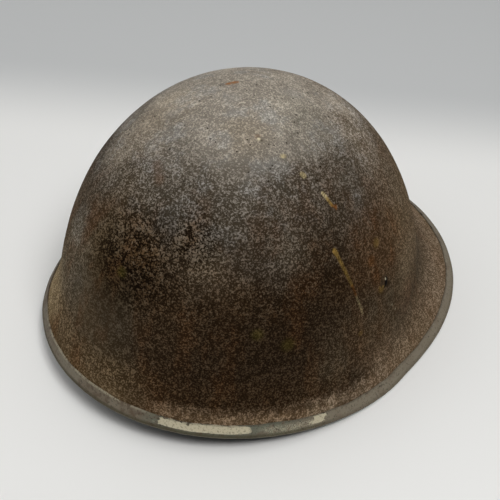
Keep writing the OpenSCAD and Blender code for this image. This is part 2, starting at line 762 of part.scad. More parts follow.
module short_chin_strap() {
  slide_slope = 14;
  sewn_start = sewn_bar[0] - slide_slope;
  sewn_end = sewn_start - sewn_length;
  low = [sewn_start, strap_lie];
  high = [sewn_start, strap_lie + 2 * stack_half];
  path = concat(
    mirrored(hanging_path()),
    [low],
    arc(sewn_bar, slide_wrap_r, touch_angle(low, sewn_bar, slide_wrap_r, 1),
        touch_angle(high, sewn_bar, slide_wrap_r, -1) + full_turn, wrap_steps),
    [high, [sewn_end, high[1]]]
  );
  color([0.45, 0.42, 0.30])
    placed() translate([0, lug_y, 0]) across_y(web_width) ribbon(path, web_thick);
}

// The slide is a bent wire frame with a thinner middle bar welded across it
module strap_slide() {
  rail_air = 1;
  rail_y = web_width / 2 + rail_air + buckle_bar_r;
  middle_bar_r = buckle_bar_r - hair;
  corner_r = 2;
  color([0.45, 0.43, 0.38])
    placed() translate([0, lug_y, slide_z]) {
        translate([sewn_bar[0], 0, 0]) rotate([0, -quarter_turn, 0])
            wire_frame(rail_y, 2 * buckle_pitch, corner_r, buckle_bar_r);
        translate([middle_bar[0], 0, 0]) along_y() cylinder(r = middle_bar_r, h = 2 * rail_y, center = true);
      }
}

module strap_keeper() {
  keeper_air = 0.3;
  keeper_wall = 0.8;
  keeper_length = 6;
  inner_low = strap_lie - web_thick / 2 - keeper_air;
  inner_high = tail_z + web_thick / 2 + keeper_air;
  inner_half = web_width / 2 + keeper_air;
  color([0.43, 0.40, 0.30])
    placed() translate([keeper_place, lug_y, 0]) difference() {
        translate([-keeper_length / 2, -inner_half - keeper_wall, inner_low - keeper_wall])
          cube([keeper_length, 2 * (inner_half + keeper_wall), inner_high - inner_low + 2 * keeper_wall]);
        translate([-keeper_length, -inner_half, inner_low])
          cube([2 * keeper_length, 2 * inner_half, inner_high - inner_low]);
      }
}

module strap_tip() {
  tip_wall = 0.5;
  tip_length = 9;
  inner_half = web_thick / 2 + hair;
  half_width = web_width / 2 + hair;
  corner = 3;
  color([0.52, 0.48, 0.36])
    placed() translate([tail_place, lug_y, tail_z]) difference() {
        translate([0, 0, -inner_half - tip_wall]) linear_extrude(2 * (inner_half + tip_wall)) {
            translate([hair - tip_length, -half_width - tip_wall])
              square([tip_length - corner, 2 * (half_width + tip_wall)]);
            translate([hair - tip_length, -half_width - tip_wall + corner])
              square([tip_length + tip_wall, 2 * (half_width + tip_wall - corner)]);
            for (y = [-1, 1])
              translate([hair + tip_wall - corner, y * (half_width + tip_wall - corner)]) circle(corner);
          }
        translate([-2 * tip_length, -half_width, -inner_half])
          cube([2 * tip_length + hair, 2 * half_width, 2 * inner_half]);
      }
}

shell();
rim_strip();
strap_bracket(0);  // left_strap_bracket
strap_bracket(1);  // right_strap_bracket
bracket_rivet(0);  // left_bracket_rivet
bracket_rivet(1);  // right_bracket_rivet
strap_loop(0);  // left_strap_loop
strap_loop(1);  // right_strap_loop
crown_stud();
crown_socket();
snap_spring();
crown_washer();
side_crown_strap();
lengthwise_crown_strap();
crown_pad();
headband();
sweatband();
crown_strap_rivets();
buffer(buffer_angles[0]);  // buffer_front_left
buffer(buffer_angles[1]);  // buffer_front_right
buffer(buffer_angles[2]);  // buffer_left_front
buffer(buffer_angles[3]);  // buffer_right_front
buffer(buffer_angles[4]);  // buffer_left_rear
buffer(buffer_angles[5]);  // buffer_right_rear
buffer(buffer_angles[6]);  // buffer_rear_left
buffer(buffer_angles[7]);  // buffer_rear_right
buffer_rivets();
long_chin_strap();
short_chin_strap();
strap_slide();
strap_keeper();
strap_tip();
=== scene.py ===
"""A relic steel combat helmet with its edge strip, strap brackets, liner and chin strap.

Everything is in metres in the part's own frame: the wearer looks along -Y, +X is the wearer's left,
and the rim stands on z = 0. Places that repeat the part's construction are named as they are there.
"""

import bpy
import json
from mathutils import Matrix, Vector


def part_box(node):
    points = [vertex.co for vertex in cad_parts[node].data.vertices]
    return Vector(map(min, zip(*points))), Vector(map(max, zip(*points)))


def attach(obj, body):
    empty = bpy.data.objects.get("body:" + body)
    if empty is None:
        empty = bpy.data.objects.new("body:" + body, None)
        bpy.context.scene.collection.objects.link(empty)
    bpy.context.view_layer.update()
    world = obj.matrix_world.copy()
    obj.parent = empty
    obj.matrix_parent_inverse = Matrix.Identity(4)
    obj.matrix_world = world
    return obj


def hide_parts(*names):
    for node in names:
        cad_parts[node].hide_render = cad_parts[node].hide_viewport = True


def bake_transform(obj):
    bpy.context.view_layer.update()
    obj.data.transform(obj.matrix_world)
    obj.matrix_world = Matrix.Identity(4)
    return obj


bl_info = {
    "name": "Steel combat helmet",
    "version": (1, 0, 0),
    "blender": (4, 5, 0),
    "location": "3D View > Sidebar > Helmet",
    "description": "Builds a relic steel helmet with its liner and chin strap",
    "category": "Add Mesh",
}

import json
import math
from types import SimpleNamespace

import bmesh
import bpy
import numpy as np
from bpy.props import FloatProperty, FloatVectorProperty, IntProperty, PointerProperty
from mathutils import Matrix, Vector
from mathutils.bvhtree import BVHTree

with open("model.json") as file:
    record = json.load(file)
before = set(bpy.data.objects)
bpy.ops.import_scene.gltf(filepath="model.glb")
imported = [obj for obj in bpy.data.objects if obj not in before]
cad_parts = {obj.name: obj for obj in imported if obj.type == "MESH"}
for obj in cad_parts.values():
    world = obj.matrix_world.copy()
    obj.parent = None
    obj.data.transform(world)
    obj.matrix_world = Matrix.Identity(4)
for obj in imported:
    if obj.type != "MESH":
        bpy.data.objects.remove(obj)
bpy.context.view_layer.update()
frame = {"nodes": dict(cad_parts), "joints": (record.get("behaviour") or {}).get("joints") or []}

MM = 0.001
MERGE = 0.002 * MM
THREAD_LIFT = 0.05 * MM
FULL_TURN = 2 * math.pi
HALF_TURN = math.pi
QUARTER_TURN = math.pi / 2


def box_middle(node):
    low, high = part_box(node)
    return (low + high) / 2


CROWN_Y = box_middle("crown_stud").y
LINER_Y = box_middle("headband").y
HINGE = Vector(frame["joints"][0]["pos_m"])


# Sizes and colours that a user may change


def length(name, description, millimetres):
    return FloatProperty(name=name, description=description, default=millimetres * MM, unit="LENGTH")


def power(name, description, value):
    return FloatProperty(name=name, description=description, default=value)


def colour(name, description, rgb):
    return FloatVectorProperty(name=name, description=description, default=rgb, size=3, subtype="COLOR")


class HelmetSizes(bpy.types.PropertyGroup):
    """Sizes of the helmet's pieces."""

    crown_height: length("Crown height", "Height of the crown above the rim's plane", 153)
    dome_front: length("Dome front", "Half length of the dome ahead of its widest place", 125)
    dome_back: length("Dome back", "Half length of the dome behind its widest place", 118)
    dome_side: length("Dome side", "Half width of the dome", 107)
    sheet: length("Sheet", "Thickness of the steel sheet", 1.2)
    crown_lean: length("Crown lean", "How far the crown sits ahead of the rim's middle", 10)
    oval_power: power("Oval", "Roundness of the oval", 2.0)
    shoulder_power: power("Shoulders", "Fullness of the dome's shoulders", 2.12)
    flank_power: power("Flanks", "Fullness of the dome's flanks", 2.18)
    brim_front: length("Brim front", "How far the brim stands out at the front", 21)
    brim_back: length("Brim back", "How far the brim stands out at the back", 44)
    brim_side: length("Brim side", "How far the brim stands out at the sides", 13)
    flare_front: length("Flare front", "Height at which the flare starts at the front", 65)
    flare_back: length("Flare back", "Height at which the flare starts at the back", 62)
    flare_side: length("Flare side", "Height at which the flare starts at the sides", 27)
    flare_power: power("Flare", "How quickly the flare grows", 2.2)
    brim_spread: power("Brim spread", "How the brim's back half narrows towards the sides", 1.6)
    front_lift: length("Front lift", "Rise of the rim at the middle of the front", 14)
    lift_angle: FloatProperty(
        name="Lift angle", description="Angle from the front at which the rise ends",
        default=math.radians(88), subtype="ANGLE",
    )
    lift_power: power("Lift curve", "How quickly the rise fades", 1.6)
    strip_width: length("Strip width", "Width of each side of the folded strip", 6.8)
    strip_thick: length("Strip thickness", "Thickness of the folded strip", 0.6)
    strip_air: length("Strip air", "Air between the strip and the sheet", 0.1)
    strip_flat: length("Strip flat", "Depth of the flat worn on the strip", 0.35)
    strip_joint: length("Strip joint", "Gap of the butt joint at the back", 0.9)
    wave_depth: length("Waves", "Depth of the sheet's broad unevenness", 0.35)
    pit_depth: length("Pits", "Depth of the deepest rust pits", 0.32)
    head_length: length("Head length", "Half length of the head inside the sweatband", 98)
    head_width: length("Head width", "Half width of the head inside the sweatband", 79.5)
    leather: length("Leather", "Thickness of the sweatband", 1.6)
    band_thick: length("Headband", "Thickness of the fibre headband", 1.6)
    tape_width: length("Crown strap width", "Width of the crown straps", 22)
    tape_thick: length("Crown strap thickness", "Thickness of the crown straps", 1.4)
    web_width: length("Webbing width", "Width of the chin strap", 20)
    web_thick: length("Webbing thickness", "Thickness of the chin strap", 1.6)
    stitch_pitch: length("Stitch pitch", "Distance from one stitch to the next", 3.4)
    seed: IntProperty(name="Seed", description="Seed of the rust pits", default=7, min=0)


class HelmetColours(bpy.types.PropertyGroup):
    """Colours of the helmet's finishes."""

    # Umber also stands for painted shadow under the edge strip, along its free edge and on the rivet heads.
    umber: colour("Umber", "Darkest rust, in the hollows", (0.016, 0.008, 0.003))
    rust: colour("Rust", "Brown rust", (0.085, 0.055, 0.031))
    earth: colour("Earth", "Light brown rust on the brim", (0.190, 0.138, 0.092))
    shade: colour("Shade", "Darkest brown, low on the front", (0.030, 0.020, 0.012))
    worn: colour("Worn", "Worn paint at mid height", (0.066, 0.051, 0.036))
    haze: colour("Haze", "Thin grey paint above the middle", (0.104, 0.090, 0.072))
    chalk: colour("Chalk", "Grey paint round the crown", (0.212, 0.188, 0.156))
    # The pale crown colour is partly grey paint and partly painted sheen of the light from above.
    dust: colour("Dust", "Pale grey crown", (0.312, 0.278, 0.232))
    frost: colour("Frost", "Pale grey bits on the crown", (0.330, 0.325, 0.305))
    tan: colour("Tan", "Light brown at the sides", (0.106, 0.083, 0.057))
    sand: colour("Sand", "Dusty rust on the brim", (0.188, 0.148, 0.113))
    slate: colour("Slate", "Smooth grey flank", (0.060, 0.050, 0.037))
    orange: colour("Orange", "Fresh orange rust", (0.185, 0.070, 0.016))
    ochre: colour("Ochre", "Yellow drips", (0.460, 0.290, 0.075))
    moss: colour("Moss", "Yellow green bits", (0.115, 0.100, 0.015))
    # Olive stands for grime and painted shade on the edge strip's lower face and fold.
    olive: colour("Olive", "Grime low on the edge strip", (0.050, 0.043, 0.023))
    khaki: colour("Khaki", "Paint on the edge strip", (0.225, 0.195, 0.145))
    green: colour("Green", "Green grey paint on the edge strip", (0.125, 0.140, 0.105))
    # Cream also stands for painted highlights along the edge strip's fold and free edge and on the rivet
    # heads.
    cream: colour("Cream", "Bare patches on the edge strip", (0.620, 0.560, 0.400))
    lining: colour("Lining", "Dark paint inside the bowl", (0.045, 0.043, 0.034))
    leather: colour("Leather", "Sweatband", (0.110, 0.052, 0.024))
    fibre: colour("Fibre", "Headband board", (0.060, 0.038, 0.024))
    tape: colour("Tape", "Crown straps", (0.115, 0.088, 0.052))
    felt: colour("Pad cloth", "Crown pad cover", (0.034, 0.032, 0.028))
    rubber: colour("Rubber", "Buffers", (0.020, 0.020, 0.019))
    webbing: colour("Webbing", "Chin strap", (0.215, 0.175, 0.095))
    thread: colour("Thread", "Stitches", (0.330, 0.280, 0.180))
    brass: colour("Brass", "Rivets and strap fittings", (0.300, 0.220, 0.095))
    steel: colour("Steel", "Wire and stud", (0.220, 0.205, 0.185))


# The bowl's rule, written once for arrays and for node sockets


def pick(mask, yes, no):
    """One value where the mask is 1, and the other where it is 0."""
    return no + (yes - no) * mask


def ends_blend(m, s, a, side, front, back):
    """A value that runs from the side's to the front's or the back's. m is an array module or a graph."""
    c = m.cos(a)
    return side + (pick(c > 0, front, back) - side) * m.abs(c) ** pick(c > 0, 2.0, s.brim_spread)


def dome_radius(m, s, a):
    c = m.cos(a)
    reach = pick(c > 0, s.dome_front, s.dome_back)
    lengthwise = m.abs(c / reach) ** s.oval_power
    crosswise = m.abs(m.sin(a) / s.dome_side) ** s.oval_power
    return (lengthwise + crosswise) ** (-1 / s.oval_power)


def wall_radius(m, s, a, z):
    fullness = m.maximum(0, 1 - (z / s.crown_height) ** s.flank_power) ** (1 / s.shoulder_power)
    reach = ends_blend(m, s, a, s.brim_side, s.brim_front, s.brim_back)
    start = ends_blend(m, s, a, s.flare_side, s.flare_front, s.flare_back)
    return dome_radius(m, s, a) * fullness + reach * m.maximum(0, 1 - z / start) ** s.flare_power


def rim_height(m, s, a):
    """Height of the sheet's edge, for an angle from 0 to a full turn."""
    from_front = HALF_TURN - m.abs(a - HALF_TURN)
    rise = m.maximum(0, m.cos(QUARTER_TURN * m.minimum(1, from_front / s.lift_angle)))
    rest = s.sheet + s.strip_air + s.strip_thick - s.strip_flat
    return rest + s.front_lift * rise ** s.lift_power


def bowl_place(m, s, a, z):
    r = wall_radius(m, s, a, z)
    return r * m.sin(a), s.crown_lean * (1 - z / s.crown_height) - r * m.cos(a) + CROWN_Y, z


def bowl_points(s, a, z):
    a, z = np.broadcast_arrays(np.asarray(a, float), np.asarray(z, float))
    return np.stack(bowl_place(np, s, a, z), -1)


def unit(v):
    return v / np.linalg.norm(v, axis=-1, keepdims=True)


def bowl_up(s, a, z):
    probe = 0.05 * MM
    return unit(bowl_points(s, a, z + probe) - bowl_points(s, a, z - probe))


def bowl_out(s, a, z):
    probe = math.radians(0.5)
    along = bowl_points(s, a + probe, z) - bowl_points(s, a - probe, z)
    return unit(np.cross(along, bowl_up(s, a, z)))


def bowl_skin(s, a, z, out):
    """Points at a distance out from the sheet's outer face."""
    return bowl_points(s, a, z) + np.asarray(out)[..., None] * bowl_out(s, a, z)


# Nodes


def assign(item, settings):
    """Sets each named property of a node, a modifier or its settings."""
    for name, value in settings.items():
        setattr(item, name, value)


def operator(operation, turned=False):
    """A method that adds a Maths node. Turned is for the reflected form, with the socket on the right."""
    def method(self, other):
        return self.graph.maths(operation, *((other, self) if turned else (self, other)))

    return method


def function(operation):
    """A method that adds a Maths node for its arguments."""
    return lambda self, *values: self.maths(operation, *values)


class Field:
    """A node socket that adds Maths nodes when it is used in an expression."""

    def __init__(self, graph, socket):
        self.graph = graph
        self.socket = socket

    __add__, __radd__ = operator("ADD"), operator("ADD", turned=True)
    __sub__, __rsub__ = operator("SUBTRACT"), operator("SUBTRACT", turned=True)
    __mul__, __rmul__ = operator("MULTIPLY"), operator("MULTIPLY", turned=True)
    __truediv__, __rtruediv__ = operator("DIVIDE"), operator("DIVIDE", turned=True)
    __pow__ = operator("POWER")
    __gt__ = operator("GREATER_THAN")

    def __neg__(self):
        return self * -1.0

    def step(self, low, high):
        """0 below low and 1 above high, and smooth between them. Low may be the larger."""
        return self.graph.step(self, low, high)


class Graph:
    """A node tree, and the same few functions that the array module has."""

    def __init__(self, tree):
        self.tree = tree

    def make(self, kind, settings=None, inputs=None):
        node = self.tree.nodes.new(kind)
        assign(node, settings or {})
        self.fill(node, inputs or {})
        return node

    def fill(self, node, inputs):
        """Links fields to the node's inputs, and sets plain values on them."""
        for key, value in inputs.items():
            if isinstance(value, Field):
                self.tree.links.new(value.socket, node.inputs[key])
            else:
                node.inputs[key].default_value = value

    def take(self, kind, settings=None, inputs=None, output=0):
        return Field(self, self.make(kind, settings, inputs).outputs[output])

    def maths(self, operation, *values):
        return self.take("ShaderNodeMath", {"operation": operation}, dict(enumerate(values)))

    cos, sin, abs = function("COSINE"), function("SINE"), function("ABSOLUTE")
    maximum, minimum = function("MAXIMUM"), function("MINIMUM")

    def step(self, value, low, high):
        start, end = (0.0, 1.0) if low < high else (1.0, 0.0)
        return self.take(
            "ShaderNodeMapRange", {"interpolation_type": "SMOOTHSTEP"},
            {0: value, 1: min(low, high), 2: max(low, high), 3: start, 4: end},
        )

    def vector(self, operation, *values, output=0):
        return self.take("ShaderNodeVectorMath", {"operation": operation}, dict(enumerate(values)), output)

    def scaled(self, vector, factor):
        return self.take("ShaderNodeVectorMath", {"operation": "SCALE"}, {0: vector, 3: factor})

    def parts(self, vector):
        node = self.make("ShaderNodeSeparateXYZ", inputs={0: vector})
        return [Field(self, socket) for socket in node.outputs]

    def joined(self, x, y, z):
        return self.take("ShaderNodeCombineXYZ", inputs={0: x, 1: y, 2: z})

    def noise(self, point, scale, detail=3.0, roughness=0.55, stretch=None):
        if stretch:
            point = self.vector("MULTIPLY", point, stretch)
        return self.take(
            "ShaderNodeTexNoise", None,
            {"Vector": point, "Scale": scale, "Detail": detail, "Roughness": roughness},
        )

    def cells(self, point, scale, output="Distance", feature="F1"):
        return self.take(
            "ShaderNodeTexVoronoi", {"feature": feature}, {"Vector": point, "Scale": scale}, output
        )


class Recipe(Graph):
    """A Geometry Nodes tree with named inputs."""

    def __init__(self, name):
        super().__init__(bpy.data.node_groups.new(name, "GeometryNodeTree"))
        face = self.tree.interface
        face.new_socket("Geometry", in_out="INPUT", socket_type="NodeSocketGeometry")
        face.new_socket("Geometry", in_out="OUTPUT", socket_type="NodeSocketGeometry")
        self.entry = self.make("NodeGroupInput")
        self.values = {}

    @property
    def given(self):
        return Field(self, self.entry.outputs["Geometry"])

    def size(self, name, value, kind="NodeSocketFloat"):
        item = self.tree.interface.new_socket(name, in_out="INPUT", socket_type=kind)
        self.values[item.identifier] = value
        return Field(self, self.entry.outputs[name])

    def store(self, geometry, name, value):
        return self.take(
            "GeometryNodeStoreNamedAttribute", {"data_type": "FLOAT", "domain": "POINT"},
            {"Geometry": geometry, "Name": name, "Value": value},
        )

    def stored(self, name):
        return self.take("GeometryNodeInputNamedAttribute", {"data_type": "FLOAT"}, {"Name": name})

    def moved(self, geometry, offset):
        return self.take("GeometryNodeSetPosition", None, {"Geometry": geometry, "Offset": offset})

    def painted(self, geometry, material, where=True):
        return self.take(
            "GeometryNodeSetMaterial", None, {"Geometry": geometry, "Selection": where, "Material": material}
        )

    def ends(self, geometry, material, inner=None):
        """Real geometry with smooth faces, and its material set last."""
        real = self.take("GeometryNodeRealizeInstances", None, {"Geometry": geometry})
        last = self.painted(self.take("GeometryNodeSetShadeSmooth", None, {"Geometry": real}), material)
        if inner:
            last = self.painted(last, inner, self.stored("inside") > 0.5)
        self.make("NodeGroupOutput", None, {"Geometry": last})


def bake(obj, recipe):
    """Turns the recipe's result into the object's own plain mesh."""
    modifier = obj.modifiers.new("recipe", "NODES")
    modifier.node_group = recipe.tree
    for identifier, value in recipe.values.items():
        modifier[identifier] = value
    return settle(obj)


def modify(obj, name, kind, **settings):
    assign(obj.modifiers.new(name, kind), settings)


def settle(obj):
    """Replaces the object's mesh by what its modifiers make of it, and removes them."""
    bpy.context.view_layer.update()
    result = obj.evaluated_get(bpy.context.evaluated_depsgraph_get())
    mesh = bpy.data.meshes.new_from_object(result)
    obj.modifiers.clear()
    obj.data = mesh
    mesh.name = obj.name
    return obj


# Meshes


def add_object(name, mesh, materials):
    for material in materials:
        mesh.materials.append(material)
    obj = bpy.data.objects.new(name, mesh)
    bpy.context.scene.collection.objects.link(obj)
    return obj


def mesh_from(name, points, faces, edges=()):
    mesh = bpy.data.meshes.new(name)
    mesh.from_pydata([tuple(p) for p in points], [tuple(e) for e in edges], [tuple(f) for f in faces])
    mesh.polygons.foreach_set("use_smooth", [True] * len(mesh.polygons))
    return mesh


def soft_edges(mesh, degrees):
    mesh.polygons.foreach_set("use_smooth", [True] * len(mesh.polygons))
    mesh.set_sharp_from_angle(angle=math.radians(degrees))


def sweep(name, rings, materials, closed, uv=None):
    """Joins rings of points into a skin. The rings close on each other, or their ends are capped.

    uv is (distance along, distance across) of every point, and becomes the UV map in metres.
    """
    rings = np.asarray(rings, float)
    count, size = rings.shape[:2]
    faces = []
    for i in range(count if closed else count - 1):
        j = (i + 1) % count
        for k in range(size):
            n = (k + 1) % size
            faces.append((i * size + k, i * size + n, j * size + n, j * size + k))
    if not closed:
        faces.append(tuple(reversed(range(size))))
        faces.append(tuple(range((count - 1) * size, count * size)))
    mesh = mesh_from(name, rings.reshape(-1, 3), faces)
    if uv is not None:
        flat = np.asarray(uv, float).reshape(-1, 2)
        layer = mesh.uv_layers.new(name="along_and_across")
        ids = np.empty(len(mesh.loops), np.int32)
        mesh.loops.foreach_get("vertex_index", ids)
        layer.data.foreach_set("uv", flat[ids].ravel())
    obj = add_object(name, mesh, materials)
    point_outwards(mesh)
    return obj


def point_outwards(mesh, merge=False):
    bm = bmesh.new()
    bm.from_mesh(mesh)
    if merge:
        bmesh.ops.remove_doubles(bm, verts=bm.verts, dist=MERGE)
    bmesh.ops.recalc_face_normals(bm, faces=bm.faces)
    bm.to_mesh(mesh)
    bm.free()


def arc(centre, rx, ry, start, end, steps):
    t = np.linspace(start, end, steps + 1)
    return np.stack([centre[0] + rx * np.cos(t), centre[1] + ry * np.sin(t)], -1)


def upright(out, start, end, count):
    """An upright line of (out, height) points."""
    return np.stack([np.full(count, out), np.linspace(start, end, count)], -1)


def even(path, spacing):
    """The same path with points at an even spacing."""
    path = np.asarray(path, float)
    run = np.concatenate([[0], np.cumsum(np.linalg.norm(np.diff(path, axis=0), axis=1))])
    places = np.linspace(0, run[-1], max(2, int(round(run[-1] / spacing))) + 1)
    return np.stack([np.interp(places, run, path[:, k]) for k in range(path.shape[1])], -1), places


def rounded_section(width, thick):
    """A strap's section, with round edges: (across, through) of each point, once round."""
    r = thick / 2
    half = width / 2 - r
    end = np.linspace(-QUARTER_TURN, QUARTER_TURN, 7)
    across = np.concatenate([half + r * np.cos(end), np.linspace(half, -half, 9)[1:-1],
                             -half - r * np.cos(end), np.linspace(-half, half, 9)[1:-1]])
    through = np.concatenate([r * np.sin(end), np.full(7, r), r * np.sin(-end), np.full(7, -r)])
    return across, through


def ripple(places, seed, size):
    """A smooth repeatable wander, the same for the same seed."""
    rng = np.random.default_rng(seed)
    total = np.zeros_like(places)
    for k in range(1, 6):
        total += np.sin(places * k * 61 + rng.uniform(0, FULL_TURN)) / k
    return total * size / 2


def strap(name, path, origin, forward, side, width, thick, materials, seed=0, spacing=1.5 * MM):
    """A flat strap along a path drawn in the plane of forward and up."""
    path, run = even(path, spacing)
    heading = unit(np.gradient(path, axis=0))
    across, through = rounded_section(width, thick)
    forward, side, origin = (np.array(v, float) for v in (forward, side, origin))
    up = np.array([0.0, 0.0, 1.0])
    sway = ripple(run, seed, 0.25 * MM)
    rings, uv = [], []
    for p, h, d, w in zip(path, heading, run, sway):
        centre = origin + p[0] * forward + p[1] * up + w * side
        normal = -h[1] * forward + h[0] * up
        rings.append(centre + np.outer(across, side) + np.outer(through, normal))
        uv.append(np.stack([np.full(len(across), d), across + width], -1))
    return sweep(name, rings, materials, closed=False, uv=uv)


def oval_points(s, t, out):
    return np.stack([(s.head_width + out) * np.sin(t), LINER_Y - (s.head_length + out) * np.cos(t)], -1)


def oval_band(name, s, section, materials, sway=None):
    """A section of (out, height) points carried round the head's oval. Sway bends it at each angle."""
    stations = 288
    t = np.linspace(0, FULL_TURN, stations, endpoint=False)
    section = np.asarray(section, float)
    run = t * (s.head_length + s.head_width) / 2
    rings, uv = [], []
    for angle, distance in zip(t, run):
        bent = section if sway is None else sway(angle, section)
        flat = oval_points(s, angle, bent[:, 0])
        rings.append(np.column_stack([flat, bent[:, 1]]))
        uv.append(np.stack([np.full(len(bent), distance), bent[:, 1]], -1))
    return sweep(name, rings, materials, closed=True, uv=uv)


def thick_line(path, thick):
    """Both sides of a line, as one closed section."""
    path = np.asarray(path, float)
    heading = unit(np.gradient(path, axis=0))
    normal = np.stack([-heading[:, 1], heading[:, 0]], -1)
    cap = 4
    turn = np.linspace(QUARTER_TURN, -QUARTER_TURN, cap + 1)[1:-1]
    r = thick / 2

    def end(i, sign):
        h, n = heading[i] * sign, normal[i] * sign
        return [path[i] + r * (math.cos(a) * h + math.sin(a) * n) for a in turn]

    return np.array(
        list(path + r * normal) + end(-1, 1) + list((path - r * normal)[::-1]) + end(0, -1)
    )


def merged_copy(node, name, flatten=False):
    """A mesh like a CAD node's, its double points merged, and its flat faces joined if asked."""
    bm = bmesh.new()
    bm.from_mesh(frame["nodes"][node].data)
    bmesh.ops.remove_doubles(bm, verts=bm.verts, dist=MERGE)
    if flatten:
        bmesh.ops.dissolve_limit(bm, angle_limit=math.radians(0.5), verts=bm.verts, edges=bm.edges)
    mesh = bpy.data.meshes.new(name)
    bm.to_mesh(mesh)
    bm.free()
    return mesh


def softened(node, name, material, edge, degrees=35):
    """A copy of a CAD node with its edges eased."""
    obj = add_object(name, merged_copy(node, name, flatten=True), [material])
    limit = math.radians(degrees)
    modify(obj, "ease", "BEVEL", width=edge, segments=2, limit_method="ANGLE", angle_limit=limit)
    settle(obj)
    soft_edges(obj.data, degrees)
    return obj


def lathe(name, profile, steps=24):
    """A round mesh from (radius, height) points, up its own Z."""
    faces, points = [], []
    profile = list(profile)
    for k in range(steps):
        a = FULL_TURN * k / steps
        points += [(r * math.cos(a), r * math.sin(a), z) for r, z in profile]
    n = len(profile)
    for k in range(steps):
        m = (k + 1) % steps
        faces += [(k * n + i, m * n + i, m * n + i + 1, k * n + i + 1) for i in range(n - 1)]
    mesh = mesh_from(name, points, faces)
    point_outwards(mesh, merge=True)
    return mesh


def stitched(name, rows, material, pitch, thread=0.45 * MM):
    """Rows of stitches along polylines, each stitch lying on the surface that its row is drawn on."""
    stitch_share, flatness = 0.72, 1.5
    points, edges = [], []
    for row in rows:
        first = len(points)
        points += [tuple(p) for p in row]
        edges += [(first + i, first + i + 1) for i in range(len(row) - 1)]
    obj = add_object(name, mesh_from(name, points, [], edges), [])
    r = Recipe(name + "_recipe")
    pitch_in = r.size("Pitch", pitch)
    thread_in = r.size("Thread", thread)
    curve = r.take("GeometryNodeMeshToCurve", None, {"Mesh": r.given})
    spaced = r.take("GeometryNodeResampleCurve", {"mode": "LENGTH"}, {"Curve": curve, "Length": pitch_in})
    ball = r.take("GeometryNodeMeshUVSphere", None, {"Segments": 8, "Rings": 6, "Radius": 0.5})
    turn = r.take(
        "FunctionNodeAlignEulerToVector", {"axis": "X"}, {"Vector": r.take("GeometryNodeInputTangent")}
    )
    laid = r.take(
        "GeometryNodeInstanceOnPoints", None,
        {"Points": spaced, "Instance": ball, "Rotation": turn,
         "Scale": r.joined(pitch_in * stitch_share, thread_in * flatness, thread_in)},
    )
    r.ends(laid, material)
    return bake(obj, r)


def riveted(name, places, profile, material):
    """One round fastener at each place, (point, outward direction)."""
    pattern = bpy.data.objects.new(name + "_pattern", lathe(name + "_pattern", profile))
    mesh = mesh_from(name, [p for p, _ in places], [])
    facing = mesh.attributes.new("facing", "FLOAT_VECTOR", "POINT")
    facing.data.foreach_set("vector", [c for _, n in places for c in n])
    obj = add_object(name, mesh, [])
    r = Recipe(name + "_recipe")
    body = r.size("Fastener", pattern, "NodeSocketObject")
    direction = r.take("GeometryNodeInputNamedAttribute", {"data_type": "FLOAT_VECTOR"}, {"Name": "facing"})
    turn = r.take("FunctionNodeAlignEulerToVector", {"axis": "Z"}, {"Vector": direction})
    info = r.take("GeometryNodeObjectInfo", None, {"Object": body}, "Geometry")
    laid = r.take(
        "GeometryNodeInstanceOnPoints", None, {"Points": r.given, "Instance": info, "Rotation": turn}
    )
    r.ends(laid, material)
    bake(obj, r)
    bpy.data.objects.remove(pattern)
    soft_edges(obj.data, 40)
    return obj


# Finishes


class Tone(tuple):
    """A colour of three numbers that can be made lighter or darker."""

    def __mul__(self, factor):
        return Tone(v * factor for v in self)


def rgba(tone):
    return tone if isinstance(tone, Field) else (*tone, 1.0)


class Finish(Graph):
    """A material with one main shader."""

    def __init__(self, name, metallic=0.0, specular=0.5):
        self.material = bpy.data.materials.new(name)
        self.material.use_nodes = True
        super().__init__(self.material.node_tree)
        self.tree.nodes.clear()
        self.shader = self.make(
            "ShaderNodeBsdfPrincipled", None, {"Metallic": metallic, "Specular IOR Level": specular}
        )
        self.make("ShaderNodeOutputMaterial", None, {"Surface": Field(self, self.shader.outputs[0])})

    def place(self):
        return self.take("ShaderNodeTexCoord", output="Object")

    def uv(self):
        return self.take("ShaderNodeUVMap", {"uv_map": "along_and_across"})

    def attribute(self, name):
        return self.take("ShaderNodeAttribute", {"attribute_name": name}, None, "Fac")

    def mix(self, factor, a, b):
        return self.take("ShaderNodeMix", {"data_type": "RGBA"}, {0: factor, 6: rgba(a), 7: rgba(b)}, 2)

    def tinted(self, mask, tone, factor):
        """The tone times (red, green, blue), as far as the mask says."""
        return self.mix(mask, tone, self.vector("MULTIPLY", tone, factor))

    def near(self, point, centre, inner, outer):
        """1 within inner of a place in millimetres, fading to 0 at outer."""
        gap = self.vector("DISTANCE", point, tuple(c * MM for c in centre), output=1)
        return gap.step(outer * MM, inner * MM)

    def near_line(self, point, start, end, inner, outer):
        """1 within inner of a line in millimetres, fading to 0 at outer."""
        a = Vector(start) * MM
        run = Vector(end) * MM - a
        gap = self.vector("SUBTRACT", point, tuple(a))
        way = self.vector("DOT_PRODUCT", gap, tuple(run / run.length_squared), output=1)
        way = self.maximum(0.0, self.minimum(1.0, way))
        off = self.vector("LENGTH", self.vector("SUBTRACT", gap, self.scaled(tuple(run), way)), output=1)
        return off.step(outer * MM, inner * MM)

    def done(self, base, roughness, height=None, distance=0.3, strength=1.0):
        """distance is the bump's depth in millimetres."""
        self.fill(self.shader, {"Base Color": rgba(base), "Roughness": roughness})
        if height is not None:
            relief = {"Height": height, "Distance": distance * MM, "Strength": strength}
            self.fill(self.shader, {"Normal": self.take("ShaderNodeBump", None, relief, "Normal")})
        return self.material


